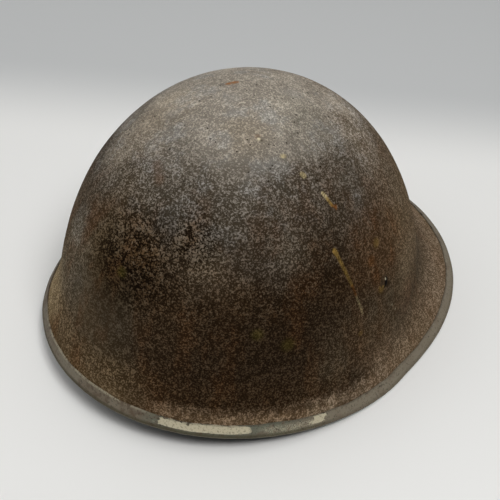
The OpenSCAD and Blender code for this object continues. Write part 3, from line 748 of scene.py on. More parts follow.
def rusted_steel(c):
    """Outside of the bowl: rough brown rust, with grey paint left towards a pale crown that is partly painted
    sheen, painted highlights high up and painted glints on the raised grains.
    """
    g = Finish("rusted_steel", specular=0.02)
    p = g.place()
    x, y, z = g.parts(p)
    edge = g.attribute("above_rim").step(17 * MM, 7 * MM)
    broad = g.noise(p, 22, 3, 0.55)
    blotch = g.noise(p, 75, 4, 0.6)
    drift = g.noise(p, 60, 4, 0.6, (1.0, 1.0, 0.3))
    mottle = g.noise(p, 210, 4, 0.6)
    lump = g.noise(p, 480, 3, 0.6)
    grain = g.noise(p, 1050, 2, 0.85)
    pebble = g.cells(p, 800)
    speck = g.parts(g.cells(p, 800, "Color"))[0]
    height = z + (broad - 0.5) * 0.035 + (blotch - 0.5) * 0.014
    height = height + x.step(-0.010, -0.050) * 0.012 - x.step(0.020, 0.070) * 0.006
    crown = height.step(0.124, 0.146)
    above = height.step(0.088, 0.118)

    # Tones by height up to the pale crown, whose pale grey is partly painted sheen.
    tone = c.shade
    for colour_value, low, high in (
        (c.worn, 0.084, 0.108), (c.haze, 0.108, 0.127), (c.chalk, 0.127, 0.142), (c.dust, 0.142, 0.152),
    ):
        tone = g.mix(height.step(low, high), tone, colour_value)
    left = x.step(0.006, -0.032) * height.step(0.128, 0.100)
    tone = g.mix(left, tone, c.tan)
    tone = g.mix(g.near(p, (-2, -144, 26), 10, 42), tone, c.tan)
    flank = g.near(p, (-14, -130, 64), 12, 40)
    tone = g.mix(flank * broad.step(0.3, 0.6), tone, c.slate)
    right = y.step(-0.050, -0.012)
    tone = g.mix(right * height.step(0.122, 0.098), tone, c.tan * 0.62)
    rear = y.step(-0.012, 0.014) * z.step(0.035, 0.065) * z.step(0.154, 0.132)
    tone = g.tinted(rear, tone, (1.95, 1.92, 1.90))
    tone = g.mix(g.near(p, (99, -46, 46), 6, 36) * 0.5, tone, c.tan * 0.8)
    tone = g.mix(right * z.step(0.040, 0.006), tone, c.sand)
    tone = g.mix(edge * x.step(0.020, 0.050) * (0.45 + 0.4 * mottle.step(0.4, 0.6)), tone, c.sand)
    for centre, inner, outer, factor in (
        ((-36, -78, 127), 8, 32, (1.36, 1.33, 1.28)), ((-34, -50, 142), 8, 26, (1.24, 1.20, 1.14)),
        ((-8, -116, 95), 12, 40, (0.72, 0.66, 0.54)), ((32, -98, 115), 5, 20, (0.78, 0.75, 0.68)),
        ((30, -124, 70), 8, 28, (1.42, 1.44, 1.46)), ((54, -100, 92), 5, 18, (1.38, 1.34, 1.28)),
        ((68, -66, 108), 4, 18, (1.28, 1.34, 1.38)), ((77, -52, 103), 6, 22, (0.80, 0.76, 0.70)),
        ((-72, -110, 28), 12, 40, (2.10, 2.25, 2.30)), ((-42, -117, 70), 10, 34, (1.22, 1.32, 1.48)),
        ((18, -48, 148), 6, 20, (0.92, 0.89, 0.84)), ((112, 12, 7), 10, 40, (0.84, 0.82, 0.78)),
        ((28, -14, 149), 8, 26, (1.08, 1.09, 1.08)), ((10, -138, 40), 8, 24, (0.86, 0.85, 0.82)),
        ((78, -88, 66), 8, 24, (0.92, 0.90, 0.88)), ((98, -66, 26), 8, 24, (1.42, 1.50, 1.55)),
        ((88, -46, 84), 5, 18, (1.20, 1.14, 1.06)), ((104, -26, 36), 8, 26, (1.22, 1.14, 1.08)),
        ((26, -110, 98), 8, 30, (1.06, 0.99, 0.88)), ((-12, -101, 117), 6, 24, (1.32, 1.33, 1.34)),
        ((34, -133, 38), 6, 22, (1.25, 1.22, 1.20)), ((40, -101, 108), 4, 16, (1.45, 1.50, 1.53)),
        ((-80, -100, 24), 4, 24, (1.42, 1.47, 1.52)), ((-47, -109, 84), 4, 18, (1.35, 1.46, 1.58)),
        ((77, -17, 112), 3, 16, (1.26, 1.34, 1.44)), ((101, 11, 42), 4, 18, (1.24, 1.13, 1.12)),
        ((7, -114, 103), 4, 14, (1.20, 1.05, 0.88)),
    ):
        tone = g.tinted(g.near(p, centre, inner, outer), tone, factor)
    tone = g.tinted(height.step(0.105, 0.080), tone, (1.0, 0.94, 0.82))
    brow = y.step(-0.066, -0.090) * z.step(0.048, 0.034)
    tone = g.tinted(brow, tone, (1.13, 1.08, 1.00))
    patch = g.near(p, (89, -14, 90), 8, 36)
    stain = drift.step(0.46, 0.66) * (1 - crown)
    fresh = g.maximum(stain * (0.18 + 0.22 * left), patch * (0.3 + 0.45 * drift.step(0.4, 0.6)))
    tone = g.mix(fresh, tone, c.orange * 0.5)
    tone = g.mix(blotch.step(0.52, 0.66) * above * 0.3, tone, g.scaled(tone, 1.3))
    cool = g.noise(p, 48, 4, 0.65)
    # Painted highlights: pale cool patches, stronger towards the crown.
    silver_highlight = g.scaled((1.05, 1.07, 1.06), height.step(0.09, 0.16) * 0.33)
    tone = g.mix(cool.step(0.5, 0.64) * above * (0.22 + 0.13 * crown), tone, silver_highlight)
    tone = g.mix(cool.step(0.47, 0.36) * above * 0.25, tone, g.scaled(tone, 0.75))

    calm = g.maximum(g.maximum(flank, edge * 0.75), g.maximum(right * 0.35, left * 0.3))
    contrast = (0.68 - 0.02 * height.step(0.074, 0.100)) * (1 - 0.4 * calm) * (1 - crown) + 0.30 * crown
    dark = g.maximum(g.near(p, (2, -117, 98), 10, 40), g.near(p, (28, -101, 114), 4, 20))
    coarse = 0.3 + 0.15 * dark
    uneven = (mottle - 0.5) * coarse + (lump - 0.5) * (coarse + 0.1) - (pebble - 0.4) * 0.16
    peak = (grain + uneven).step(0.38, 0.62)
    # Raised grains lighter and cooler, hollows darker: partly the grain's own colour and partly painted
    # glints.
    rust = g.scaled(tone, 1 + contrast * (peak * peak * 3.0 - 0.8))
    hue = g.mix(peak, (1.08, 0.98, 0.82), (0.98, 1.0, 1.07))
    rust = g.tinted(1 - crown, rust, hue)
    middle = (1 - crown) * (1 - calm) * (0.3 + 0.7 * height.step(0.070, 0.100))
    # Light flecks on raised grains: partly real flecks and partly painted glints.
    fleck_and_glint = peak.step(0.62, 0.95) * speck.step(0.5, 0.8) * middle
    rust = g.mix(fleck_and_glint * 0.4, rust, g.mix(above, c.tan * 2.0, c.haze * 1.9))
    rust = g.mix(dark * peak.step(0.4, 0.15) * 0.85, rust, c.umber * 0.25)
    pit_tone = g.parts(g.cells(p, 330, "Color"))[0]
    hole = g.cells(p, 330).step(0.24, 0.10) * pit_tone.step(0.66, 0.72) * height.step(0.080, 0.125)
    rust = g.mix(hole * 0.85, rust, c.umber * 0.8)

    pale, amber = (0.60, 0.49, 0.26), c.ochre * 0.8
    brown = c.orange * 0.8
    drips = [
        ((39.7, -42.4, 142), (39, -43, 142), 0.5, 2.0, 0.75, pale),
        ((51.8, -40.8, 134.8), (51, -41, 135), 0.7, 2.2, 1.0, pale),
        ((62.5, -37, 126.6), (65.2, -36.3, 124), 0.5, 1.5, 0.9, pale),
        ((65.2, -36.3, 124), (68.2, -35.6, 120.8), 0.3, 1.4, 0.9, amber),
        ((68.2, -35.6, 120.8), (70.2, -34.3, 118.8), 0.2, 1.2, 0.8, c.orange),
        ((79.3, -46.1, 102.6), (80.5, -45.6, 101), 0.8, 1.9, 1.0, amber),
        ((80.5, -45.6, 101), (87, -43.3, 89.4), 0.4, 1.6, 0.85, amber * 0.7),
        ((87, -43.3, 89.4), (90.9, -41.4, 81.2), 0.3, 1.5, 0.8, amber * 0.6),
        ((90.9, -41.4, 81.2), (93.8, -40, 74.1), 0.2, 1.3, 0.8, brown),
        ((93.8, -40, 74.1), (98, -37.1, 61.8), 0.1, 1.3, 0.35, pale),
        ((-11.2, -83.7, 134.1), (-4, -89.9, 130.4), 0.5, 5.0, 0.4, brown),
        ((-16.4, -19.9, 151.7), (-13.9, -15.5, 151.9), 0.9, 2.1, 1.0, c.orange * 1.7),
    ]
    for start, end, inner, outer, strength, colour_value in drips:
        mask = g.near_line(p, start, end, inner, outer)
        rust = g.mix(mask * (0.35 + 0.65 * peak) * strength, rust, g.scaled(colour_value, 0.7 + 0.5 * mottle))
    spots = [
        ((-19, -22.5, 151), 0.6, 2.8, c.slate, 0.6),
        ((-26, -55, 144.4), 1, 8, c.frost, 0.4),
        ((-5, -31, 152.6), 1, 8, c.frost, 0.4),
        ((13.6, -1.2, 150.4), 1, 9, c.frost, 0.35),
        ((69.5, -34, 120), 0.4, 1.7, c.orange * 1.3, 0.8),
        ((98, -19, 68), 1.4, 4.0, c.ochre * 0.45, 0.8),
        ((88, -15.5, 93.5), 1.0, 4.2, c.ochre * 0.4, 0.7),
        ((91, -23.5, 87), 1.0, 4.5, c.orange, 0.5),
        ((100, -39.5, 49.5), 0.6, 2.8, c.ochre * 0.45, 0.5),
        ((69, -95.5, 71), 1.0, 5.0, c.moss, 0.35),
        ((81, -83.5, 62), 1.0, 6.0, c.moss, 0.35),
        ((-1.5, -122, 90), 1.0, 4.5, c.moss, 0.35),
        ((23.5, -44.5, 147.5), 0.5, 2.6, c.orange, 0.45),
        ((25, -45.5, 147), 0.5, 1.6, c.cream * 1.3, 0.95),
        ((26.5, -45, 147), 0.3, 1.3, c.umber, 0.95),
        ((97.8, -12.2, 66.5), 0.8, 2.6, c.umber * 0.3, 0.9),
        ((102, -9.5, 51), 0.3, 1.0, c.cream, 0.7),
        ((103, -5.5, 45), 0.3, 1.0, c.cream, 0.7),
        ((96.5, 58, 13.5), 0.3, 1.0, c.cream, 0.8),
    ]
    for centre, inner, outer, tone, strength in spots:
        rust = g.mix(g.near(p, centre, inner, outer) * (0.4 + 0.6 * peak) * strength, rust, tone)

    relief = peak * (0.6 - 0.35 * calm) + mottle * 0.3 - hole * 0.6
    return g.done(rust, 0.72 + 0.16 * mottle, relief, distance=0.5, strength=0.9)


def bowl_lining(c):
    """Inside of the bowl: dark sprayed paint with rust blooming through."""
    g = Finish("bowl_lining", specular=0.3)
    p = g.place()
    cloud = g.noise(p, 40, 5, 0.6)
    bloom = g.noise(p, 120, 5, 0.66)
    sand = g.noise(p, 1400, 2, 0.6)
    base = g.mix(cloud.step(0.35, 0.65), c.lining, c.lining * 1.5)
    worn = cloud.step(0.48, 0.62) * bloom.step(0.45, 0.6)
    base = g.mix(worn, base, g.mix(bloom.step(0.5, 0.7), c.umber, c.rust))
    base = g.mix(bloom.step(0.66, 0.72) * 0.6, base, c.orange)
    return g.done(base, 0.66 + 0.2 * worn, sand * 0.6 + bloom * 0.8, distance=0.4)


def strip_steel(c):
    """Edge strip: worn khaki and green paint, bare cream patches, a painted highlight and shadow line along
    its free edge, grime and painted shade low on its face with a painted highlight along the fold, and a
    painted shadow beneath.
    """
    g = Finish("strip_steel", specular=0.2)
    p = g.place()
    way = g.attribute("way_round")
    across = g.attribute("across")
    cloud = g.noise(p, 60, 4, 0.6)
    flake = g.noise(p, 240, 5, 0.7)
    grain = g.noise(p, 800, 3, 0.7)
    left_front = way.step(-0.68, -0.38) * way.step(0.34, 0.16)
    right_side = way.step(0.95, 1.15) * way.step(2.9, 2.4)
    base = g.mix(cloud.step(0.38, 0.62), c.earth * 0.55, c.khaki * 0.75)
    base = g.mix(right_side * (0.65 + 0.35 * cloud), base, c.khaki * 0.96)
    base = g.mix(left_front * flake.step(0.3, 0.6) * 0.6, base, c.khaki * 0.9)
    base = g.mix(flake.step(0.56, 0.7) * 0.6, base, c.earth * 0.7)
    base = g.mix(right_side * cloud.step(0.5, 0.64) * 0.45, base, c.earth * 0.75)
    front = way.step(0.2, 0.3) * way.step(1.0, 0.8)
    base = g.mix(front * flake.step(0.36, 0.56) * 0.75, base, c.green)
    torn = way + (flake - 0.5) * 0.16
    long_patch = torn.step(0.25, 0.36) * torn.step(0.76, 0.62)
    short_patch = torn.step(0.97, 1.0) * torn.step(1.06, 1.03)
    bare = g.maximum(long_patch, short_patch)
    wear = across.step(0.04, 0.0) * 0.5 + across.step(0.16, 0.23) * 1.2
    ragged = (bare + (flake - 0.5) * 1.2 - wear).step(0.45, 0.6)
    metal = g.mix(grain.step(0.28, 0.52), c.cream * 0.5, c.cream * 0.88)
    base = g.mix(ragged, base, metal)
    scatter = torn.step(0.70, 0.80) * torn.step(1.10, 0.96) * (0.2 + 0.8 * across.step(0.05, 0.11))
    chips = g.noise(p, 2300, 2, 0.6).step(0.42, 0.60) * (0.45 + 0.55 * cloud.step(0.35, 0.6))
    base = g.mix(scatter * chips * 0.8, base, c.cream * 0.82)
    lip = across.step(0.05, 0.02) * flake.step(0.4, 0.5)
    # Painted highlight along the free edge on the lower left front.
    base = g.mix(lip * left_front * 0.5, base, c.cream * 0.7)
    nicks = across.step(0.10, 0.05) * g.noise(p, 150, 3, 0.6).step(0.62, 0.66)
    base = g.mix(nicks * 0.8, base, c.umber)
    # Painted shadow line along the rest of the free edge.
    base = g.mix(lip * (1 - left_front) * 0.3, base, c.umber)
    # Grime and painted shade on the strip's lower face and fold.
    under = across.step(0.18, 0.24)
    base = g.mix(under * (0.78 - 0.45 * right_side), base, c.olive * 1.15)
    # Painted shadow on the underside of the fold, above the floor.
    below = across.step(0.48, 0.53) * across.step(0.80, 0.70)
    base = g.mix(below * (1 - right_side), base, c.umber * 0.6)
    # Painted highlight along the outer curve of the fold.
    fold = across.step(0.33, 0.37) * across.step(0.47, 0.45) * flake.step(0.36, 0.46)
    base = g.mix(fold * (1 - right_side) * 0.7, base, c.cream * 0.62)
    base = g.mix(grain.step(0.44, 0.36) * (0.6 - 0.4 * ragged), base, c.rust * 0.35)
    return g.done(base, 0.6 + 0.2 * flake, flake * 0.7 + grain * 0.6 - ragged * 0.3, distance=0.35)


def worn_metal(name, colour_value, rust_value, metallic, rough, amount):
    """Small metal parts: dull metal or paint, with rust in patches."""
    g = Finish(name, metallic=metallic, specular=0.45)
    p = g.place()
    cloud = g.noise(p, 180, 4, 0.62)
    grain = g.noise(p, 1300, 3, 0.65)
    worn = cloud.step(0.62 - amount * 0.25, 0.72 - amount * 0.2)
    base = g.mix(cloud.step(0.3, 0.7), colour_value * 0.7, colour_value)
    base = g.mix(worn, base, rust_value)
    base = g.mix(grain.step(0.44, 0.32) * 0.5, base, rust_value * 0.3)
    return g.done(base, rough + 0.25 * worn + 0.15 * (grain - 0.5), grain * 0.6 + cloud * 0.4, distance=0.12)


def rivet_rust(c):
    """Rivet heads on the bowl: dark rust with a painted black shadow crescent and one bright fleck, partly
    wear and partly a painted highlight.
    """
    g = Finish("rivet_rust", specular=0.02)
    y, z = g.parts(g.place())[1:]
    face = g.joined(0.0, y, z)
    _, mid_y, mid_z = box_middle("left_bracket_rivet") / MM
    grain = g.noise(g.place(), 900, 3, 0.7)
    base = g.mix(grain.step(0.35, 0.6), c.rust * 0.3, c.rust * 0.9)
    below = g.near(face, (0, mid_y - 2.0, mid_z - 1.2), 0.5, 1.6)
    base = g.mix(below * 0.7, base, c.ochre * 0.45)
    # Painted shadow: a black crescent along one side of the head.
    pit = g.near_line(face, (0, mid_y + 0.4, mid_z - 2.2), (0, mid_y + 1.3, mid_z + 1.2), 1.5, 2.2)
    base = g.mix(pit, base, c.umber * 0.15)
    # A bright fleck on top: partly wear and partly a painted highlight.
    fleck_and_glint = g.near(face, (0, mid_y + 0.6, mid_z + 2.4), 0.4, 0.9)
    base = g.mix(fleck_and_glint, base, c.cream * 0.7)
    return g.done(base, 0.75, grain, distance=0.3)


def cloth(name, colour_value, pitch, relief, worn_value, rib=1.0):
    """Woven cloth or webbing, its weave following the UV map."""
    g = Finish(name, specular=0.2)
    u, v, _ = g.parts(g.uv())
    p = g.place()
    warp = g.sin(v * (FULL_TURN / pitch))
    weft = g.sin(u * (FULL_TURN / (pitch * rib)))
    weave = warp * weft * 0.5 + 0.5
    soil = g.noise(p, 55, 4, 0.6)
    fibre = g.noise(p, 2600, 2, 0.6)
    base = g.mix(weave.step(0.15, 0.85), colour_value * 0.55, colour_value)
    base = g.mix(soil.step(0.42, 0.7) * 0.65, base, worn_value)
    base = g.mix((fibre - 0.35) * 0.5, base, colour_value * 1.5)
    return g.done(base, 0.88, weave * 0.8 + fibre * 0.25, distance=relief)


def tanned_leather(c):
    g = Finish("tanned_leather", specular=0.4)
    p = g.place()
    crease = g.cells(p, 900, "Distance", "DISTANCE_TO_EDGE")
    cloud = g.noise(p, 45, 4, 0.6)
    scuff = g.noise(p, 300, 4, 0.7, (1.0, 1.0, 3.0))
    base = g.mix(cloud.step(0.3, 0.7), c.leather * 0.45, c.leather)
    base = g.mix(scuff.step(0.56, 0.72) * 0.5, base, c.leather * 1.9)
    base = g.mix(crease.step(0.06, 0.0) * 0.5, base, c.leather * 0.3)
    return g.done(base, 0.42 + 0.25 * scuff, crease.step(0.0, 0.12) * 0.7 + scuff * 0.5, distance=0.14)


def pressed_board(c):
    g = Finish("pressed_board", specular=0.3)
    p = g.place()
    strand = g.noise(p, 420, 4, 0.7, (1.0, 1.0, 4.0))
    cloud = g.noise(p, 50, 3, 0.6)
    base = g.mix(strand.step(0.35, 0.65), c.fibre * 0.6, c.fibre * 1.3)
    base = g.mix(cloud.step(0.5, 0.72) * 0.5, base, c.rust)
    return g.done(base, 0.6 + 0.2 * strand, strand, distance=0.12)


def moulded_rubber(c):
    g = Finish("moulded_rubber", specular=0.35)
    p = g.place()
    bloom = g.noise(p, 90, 4, 0.6)
    grain = g.noise(p, 1500, 2, 0.6)
    base = g.mix(bloom.step(0.42, 0.7) * 0.7, c.rubber, c.rubber * 3.2)
    return g.done(base, 0.6 + 0.25 * bloom, grain * 0.6 + bloom * 0.4, distance=0.08)


def pad_cover(c):
    """Coated cloth over felt: a fine even weave read from Object coordinates."""
    g = Finish("pad_cover", specular=0.25)
    p = g.place()
    x, y, _ = g.parts(p)
    per_thread = FULL_TURN / (0.9 * MM)
    weave = g.sin(x * per_thread) * g.sin(y * per_thread) * 0.5 + 0.5
    cloud = g.noise(p, 60, 4, 0.6)
    rub = g.noise(p, 200, 4, 0.65)
    base = g.mix(weave.step(0.2, 0.8), c.felt * 0.6, c.felt * 1.3)
    base = g.mix(cloud.step(0.5, 0.72) * 0.6, base, c.felt * 2.6)
    return g.done(base, 0.8, weave * 0.7 + rub * 0.6, distance=0.15)


def finishes(context):
    """Every finish by name, made once."""
    if not hasattr(finishes, "made"):
        c = SimpleNamespace(**{
            key: Tone(getattr(context.scene.helmet_colours, key))
            for key in HelmetColours.__annotations__
        })
        finishes.made = SimpleNamespace(
            shell=rusted_steel(c), lining=bowl_lining(c), strip=strip_steel(c),
            bracket=worn_metal("bracket_paint", c.lining * 1.6, c.rust, 0.0, 0.5, 0.7),
            rivet=rivet_rust(c),
            wire=worn_metal("dull_wire", c.steel, c.rust, 0.85, 0.42, 0.6),
            brass=worn_metal("tarnished_brass", c.brass, c.brass * 0.4, 0.9, 0.38, 0.5),
            leather=tanned_leather(c), board=pressed_board(c), rubber=moulded_rubber(c), pad=pad_cover(c),
            tape=cloth("crown_tape", c.tape, 1.6 * MM, 0.22, c.tape * 0.5),
            webbing=cloth("chin_webbing", c.webbing, 1.3 * MM, 0.3, c.webbing * 0.45, 1.6),
            thread=worn_metal("waxed_thread", c.thread, c.thread * 0.5, 0.0, 0.7, 0.4),
        )
    return finishes.made


# Operators


def belongs(obj, body, slot, *nodes):
    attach(obj, body)
    if nodes:
        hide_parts(*nodes)
    return obj


class HELMET_OT_camera(bpy.types.Operator):
    """Camera at the photograph's place"""

    bl_idname = "helmet.camera"
    bl_label = "Camera"

    def execute(self, context):
        turn, tilt, roll = (math.radians(v) for v in (35.16, 40.67, 4.46))
        distance, aim_back, aim_height = 0.5857, 0.005, 0.04391
        picture, focal, pixels_right, pixels_up = 500, 944.2, 6.33, -8.51
        target = Vector((0, CROWN_Y + aim_back, aim_height))
        back = Vector((math.sin(turn) * math.cos(tilt), -math.cos(turn) * math.cos(tilt), math.sin(tilt)))
        level = Vector((math.cos(turn), math.sin(turn), 0))
        rise = back.cross(level)
        right = level * math.cos(roll) + rise * math.sin(roll)
        up = rise * math.cos(roll) - level * math.sin(roll)
        data = bpy.data.cameras.new("camera")
        data.sensor_width = 36
        data.lens = data.sensor_width * focal / picture
        data.shift_x, data.shift_y = pixels_right / picture, pixels_up / picture
        data.clip_start, data.clip_end = 0.02, 30
        camera = bpy.data.objects.new("camera", data)
        camera.matrix_world = Matrix.Translation(target + back * distance) @ Matrix(
            (right, up, back)).transposed().to_4x4()
        context.scene.collection.objects.link(camera)
        context.scene.camera = camera
        return {"FINISHED"}


class HELMET_OT_shell(bpy.types.Operator):
    """The steel bowl, inside and outside, with its waves and rust pits"""

    bl_idname = "helmet.shell"
    bl_label = "Shell"

    def execute(self, context):
        sizes, look = context.scene.helmet_sizes, finishes(context)
        obj = add_object("steel_shell", mesh_from("steel_shell", [(0, 0, 0)], []), [])
        r = Recipe("shell_recipe")
        keys = [k for k in HelmetSizes.__annotations__ if k.split("_")[0] in (
            "crown", "dome", "sheet", "oval", "shoulder", "flank", "brim", "flare", "front", "lift", "strip",
            "wave", "pit",
        )]
        s = SimpleNamespace(**{
            key: r.size(key.replace("_", " ").capitalize(), getattr(sizes, key)) for key in keys
        })
        seed = r.size("Seed", sizes.seed, "NodeSocketInt")
        around = r.size("Places round the bowl", 330, "NodeSocketInt")
        rows = r.size("Rows", 240, "NodeSocketInt")
        outer_share = r.size("Outer share", 190 / 240)
        grid = r.take(
            "GeometryNodeMeshGrid", None,
            {"Size X": 1.0, "Size Y": 1.0, "Vertices X": around + 1, "Vertices Y": rows + 1},
        )
        x, y, _ = r.parts(r.take("GeometryNodeInputPosition"))
        angle = (x + 0.5) * FULL_TURN
        way = 0.5 - y
        hair = 0.0001
        inside = way > outer_share + hair
        level = pick(inside, (way - outer_share) / (1 - outer_share), 1 - way / outer_share)
        rim = rim_height(r, s, angle)
        z = rim + (s.crown_height - rim) * r.sin(level * QUARTER_TURN)
        mesh = r.store(grid, "inside", inside)
        mesh = r.store(mesh, "above_rim", z - rim)
        place = r.joined(*bowl_place(r, s, angle, z))
        mesh = r.take("GeometryNodeSetPosition", None, {"Geometry": mesh, "Position": place})
        normal = r.take("GeometryNodeInputNormal")
        inner = r.stored("inside")
        mesh = r.moved(mesh, r.scaled(normal, inner * s.sheet))
        mesh = r.take("GeometryNodeMergeByDistance", None, {"Geometry": mesh, "Distance": 0.008 * MM})
        clear = r.stored("above_rim").step(9 * MM, 20 * MM)
        here = r.vector("ADD", r.take("GeometryNodeInputPosition"), r.joined(seed * 0.37, 0.0, 0.0))
        waves = (r.noise(here, 26, 2, 0.5) - 0.5) * 2 * s.wave_depth * clear
        mesh = r.moved(mesh, r.scaled(normal, waves * (1 - 2 * inner)))
        tone = r.parts(r.cells(here, 150, "Color"))[0]
        pits = r.cells(here, 150).step(0.42, 0.08) * tone.step(0.35, 1.0)
        scale = (r.noise(here, 230, 3, 0.6) - 0.5) * 0.3
        depth = (pits * 0.7 + scale) * s.pit_depth * clear * (1 - inner * 0.6)
        mesh = r.moved(mesh, r.scaled(normal, -depth))
        r.ends(mesh, look.shell, look.lining)
        bake(obj, r)
        belongs(obj, "helmet", "rusted_steel", "shell")
        return {"FINISHED"}


class HELMET_OT_strip(bpy.types.Operator):
    """The strip folded over the sheet's edge"""

    bl_idname = "helmet.strip"
    bl_label = "Edge strip"

    def execute(self, context):
        s, look = context.scene.helmet_sizes, finishes(context)
        stations, flat_steps, arc_steps = 540, 5, 10
        inner_r = s.sheet / 2 + s.strip_air
        outer_r = inner_r + s.strip_thick
        gap = math.asin(s.strip_joint / 2 / float(wall_radius(np, s, HALF_TURN, 0.0)))
        signed = np.linspace(gap - HALF_TURN, HALF_TURN - gap, stations)
        angles = signed % FULL_TURN
        rim = rim_height(np, s, angles)
        up = bowl_up(s, angles, rim)
        out = bowl_out(s, angles, rim)
        middle = bowl_skin(s, angles, rim, np.full(stations, -s.sheet / 2))
        wander = 1 + 0.035 * np.sin(angles * 9 + 1) + 0.025 * np.sin(angles * 23 + 2)
        wander += 0.02 * np.sin(angles * 41)
        dents = 0.12 * MM * (np.sin(angles * 17) + np.sin(angles * 29 + 1)) / 2

        def contour(r, lift):
            rows = []
            for share in np.linspace(1, 0, flat_steps, endpoint=False):
                height = rim + share * s.strip_width * wander * up[:, 2]
                reach = r - s.sheet / 2 + lift * share + dents * (1 - share)
                rows.append(bowl_skin(s, angles, height, reach))
            for bend in np.linspace(0, HALF_TURN, arc_steps + 1):
                fold = r * (math.cos(bend) * out - math.sin(bend) * up)
                rows.append(middle + fold + (dents * math.cos(bend))[:, None] * out)
            for share in np.linspace(0, 1, flat_steps + 1)[1:]:
                height = rim + share * s.strip_width * wander * up[:, 2]
                rows.append(bowl_skin(s, angles, height, -r - s.sheet / 2 - lift * share))
            return np.stack(rows, 1)

        lift = 0.08 * MM
        rings = np.concatenate([contour(outer_r, lift), contour(inner_r, lift)[:, ::-1]], 1)
        rings[..., 2] = np.maximum(rings[..., 2], 0)
        obj = sweep("edge_strip", rings, [look.strip], closed=False)
        half = rings.shape[1] // 2
        across = np.concatenate([np.linspace(0, 1, half), np.linspace(1, 0, half)])
        layers = {"way_round": np.repeat(signed, 2 * half), "across": np.tile(across, stations)}
        for name, values in layers.items():
            layer = obj.data.attributes.new(name, "FLOAT", "POINT")
            layer.data.foreach_set("value", values)
        soft_edges(obj.data, 50)
        belongs(obj, "helmet", "strip_steel", "rim_strip")
        return {"FINISHED"}


class HELMET_OT_fittings(bpy.types.Operator):
    """Strap brackets, their rivets, the wire loops and the crown fixing"""

    bl_idname = "helmet.fittings"
    bl_label = "Metal fittings"

    def execute(self, context):
        look = finishes(context)
        for side in ("left", "right"):
            plate = softened(f"{side}_strap_bracket", f"{side}_bracket_plate", look.bracket, 0.25 * MM)
            belongs(plate, "helmet", "bracket_steel", f"{side}_strap_bracket")
        for finish, nodes in (
            (look.rivet, ("left_bracket_rivet", "right_bracket_rivet")),
            (look.wire, ("left_strap_loop", "right_strap_loop", "strap_slide")),
            (look.wire, ("crown_stud", "snap_spring", "crown_washer")),
            (look.brass, ("crown_socket",)),
        ):
            for node in nodes:
                materials = frame["nodes"][node].data.materials
                materials.clear()
                materials.append(finish)
        return {"FINISHED"}


BAND_BOTTOM, BAND_TOP, LIP_TOP = 22 * MM, 54 * MM, 27 * MM
SWEAT_TOP, SWEAT_FOLD = 57 * MM, 20.8 * MM
BAND_EDGE, SEAM_DROP = 0.8 * MM, 2.2 * MM
BAND_IN, BAND_OUT = 2.7 * MM, 4.3 * MM
ARM_MIDDLE, ARM_BOTTOM, CROWN_FLAT = 5.1 * MM, 30 * MM, 13 * MM
SIDE_STRAP_Z, LONG_STRAP_Z, CROWN_HOLE_R = 144.8 * MM, 143.3 * MM, 6.9 * MM
ARM_RIVETS = (35 * MM, 48 * MM)
BUFFER_Z = 40 * MM
STRAP_SEAT, BUFFER_SEAT = 1.55, 3.45
BUFFER_ANGLES = (30, -30, 61, -61, 119, -119, 150, -150)


def crown_arc(reach, height):
    return arc((CROWN_FLAT, BAND_TOP), reach - CROWN_FLAT, height - BAND_TOP, 0, QUARTER_TURN, 40)


class HELMET_OT_crown_straps(bpy.types.Operator):
    """The two cloth straps that cross under the crown"""

    bl_idname = "helmet.crown_straps"
    bl_label = "Crown straps"

    def execute(self, context):
        s, look = context.scene.helmet_sizes, finishes(context)
        off = LINER_Y - CROWN_Y
        side_reach = s.head_width + ARM_MIDDLE
        front_reach, back_reach = s.head_length + ARM_MIDDLE - off, s.head_length + ARM_MIDDLE + off
        crown = (0, CROWN_Y, 0)

        def path(right, left, z):
            one, two = crown_arc(right, z), crown_arc(left, z)[::-1] * [-1, 1]
            return np.concatenate([[[right, ARM_BOTTOM]], one, two, [[-left, ARM_BOTTOM]]])

        for name, node, line, forward, side in (
            ("crown_strap_side_to_side", "side_crown_strap",
             path(side_reach, side_reach, SIDE_STRAP_Z), (1, 0, 0), (0, -1, 0)),
            ("crown_strap_front_to_back", "lengthwise_crown_strap",
             path(back_reach, front_reach, LONG_STRAP_Z), (0, 1, 0), (1, 0, 0)),
        ):
            obj = strap(name, line, crown, forward, side, s.tape_width, s.tape_thick, [look.tape], seed=3)
            pierced(obj, (0, CROWN_Y, LONG_STRAP_Z), CROWN_HOLE_R)
            belongs(obj, "helmet", "liner_cloth", node)
        return {"FINISHED"}


def pierced(obj, centre, radius):
    """Cuts a round upright hole through a piece."""
    tool_mesh = bpy.data.meshes.new("hole_tool")
    bm = bmesh.new()
    bmesh.ops.create_cone(
        bm, cap_ends=True, segments=48, radius1=radius, radius2=radius, depth=20 * MM,
        matrix=Matrix.Translation(centre),
    )
    bm.to_mesh(tool_mesh)
    bm.free()
    tool = add_object("hole_tool", tool_mesh, [])
    modify(obj, "hole", "BOOLEAN", operation="DIFFERENCE", solver="EXACT", object=tool)
    settle(obj)
    bpy.data.objects.remove(tool)


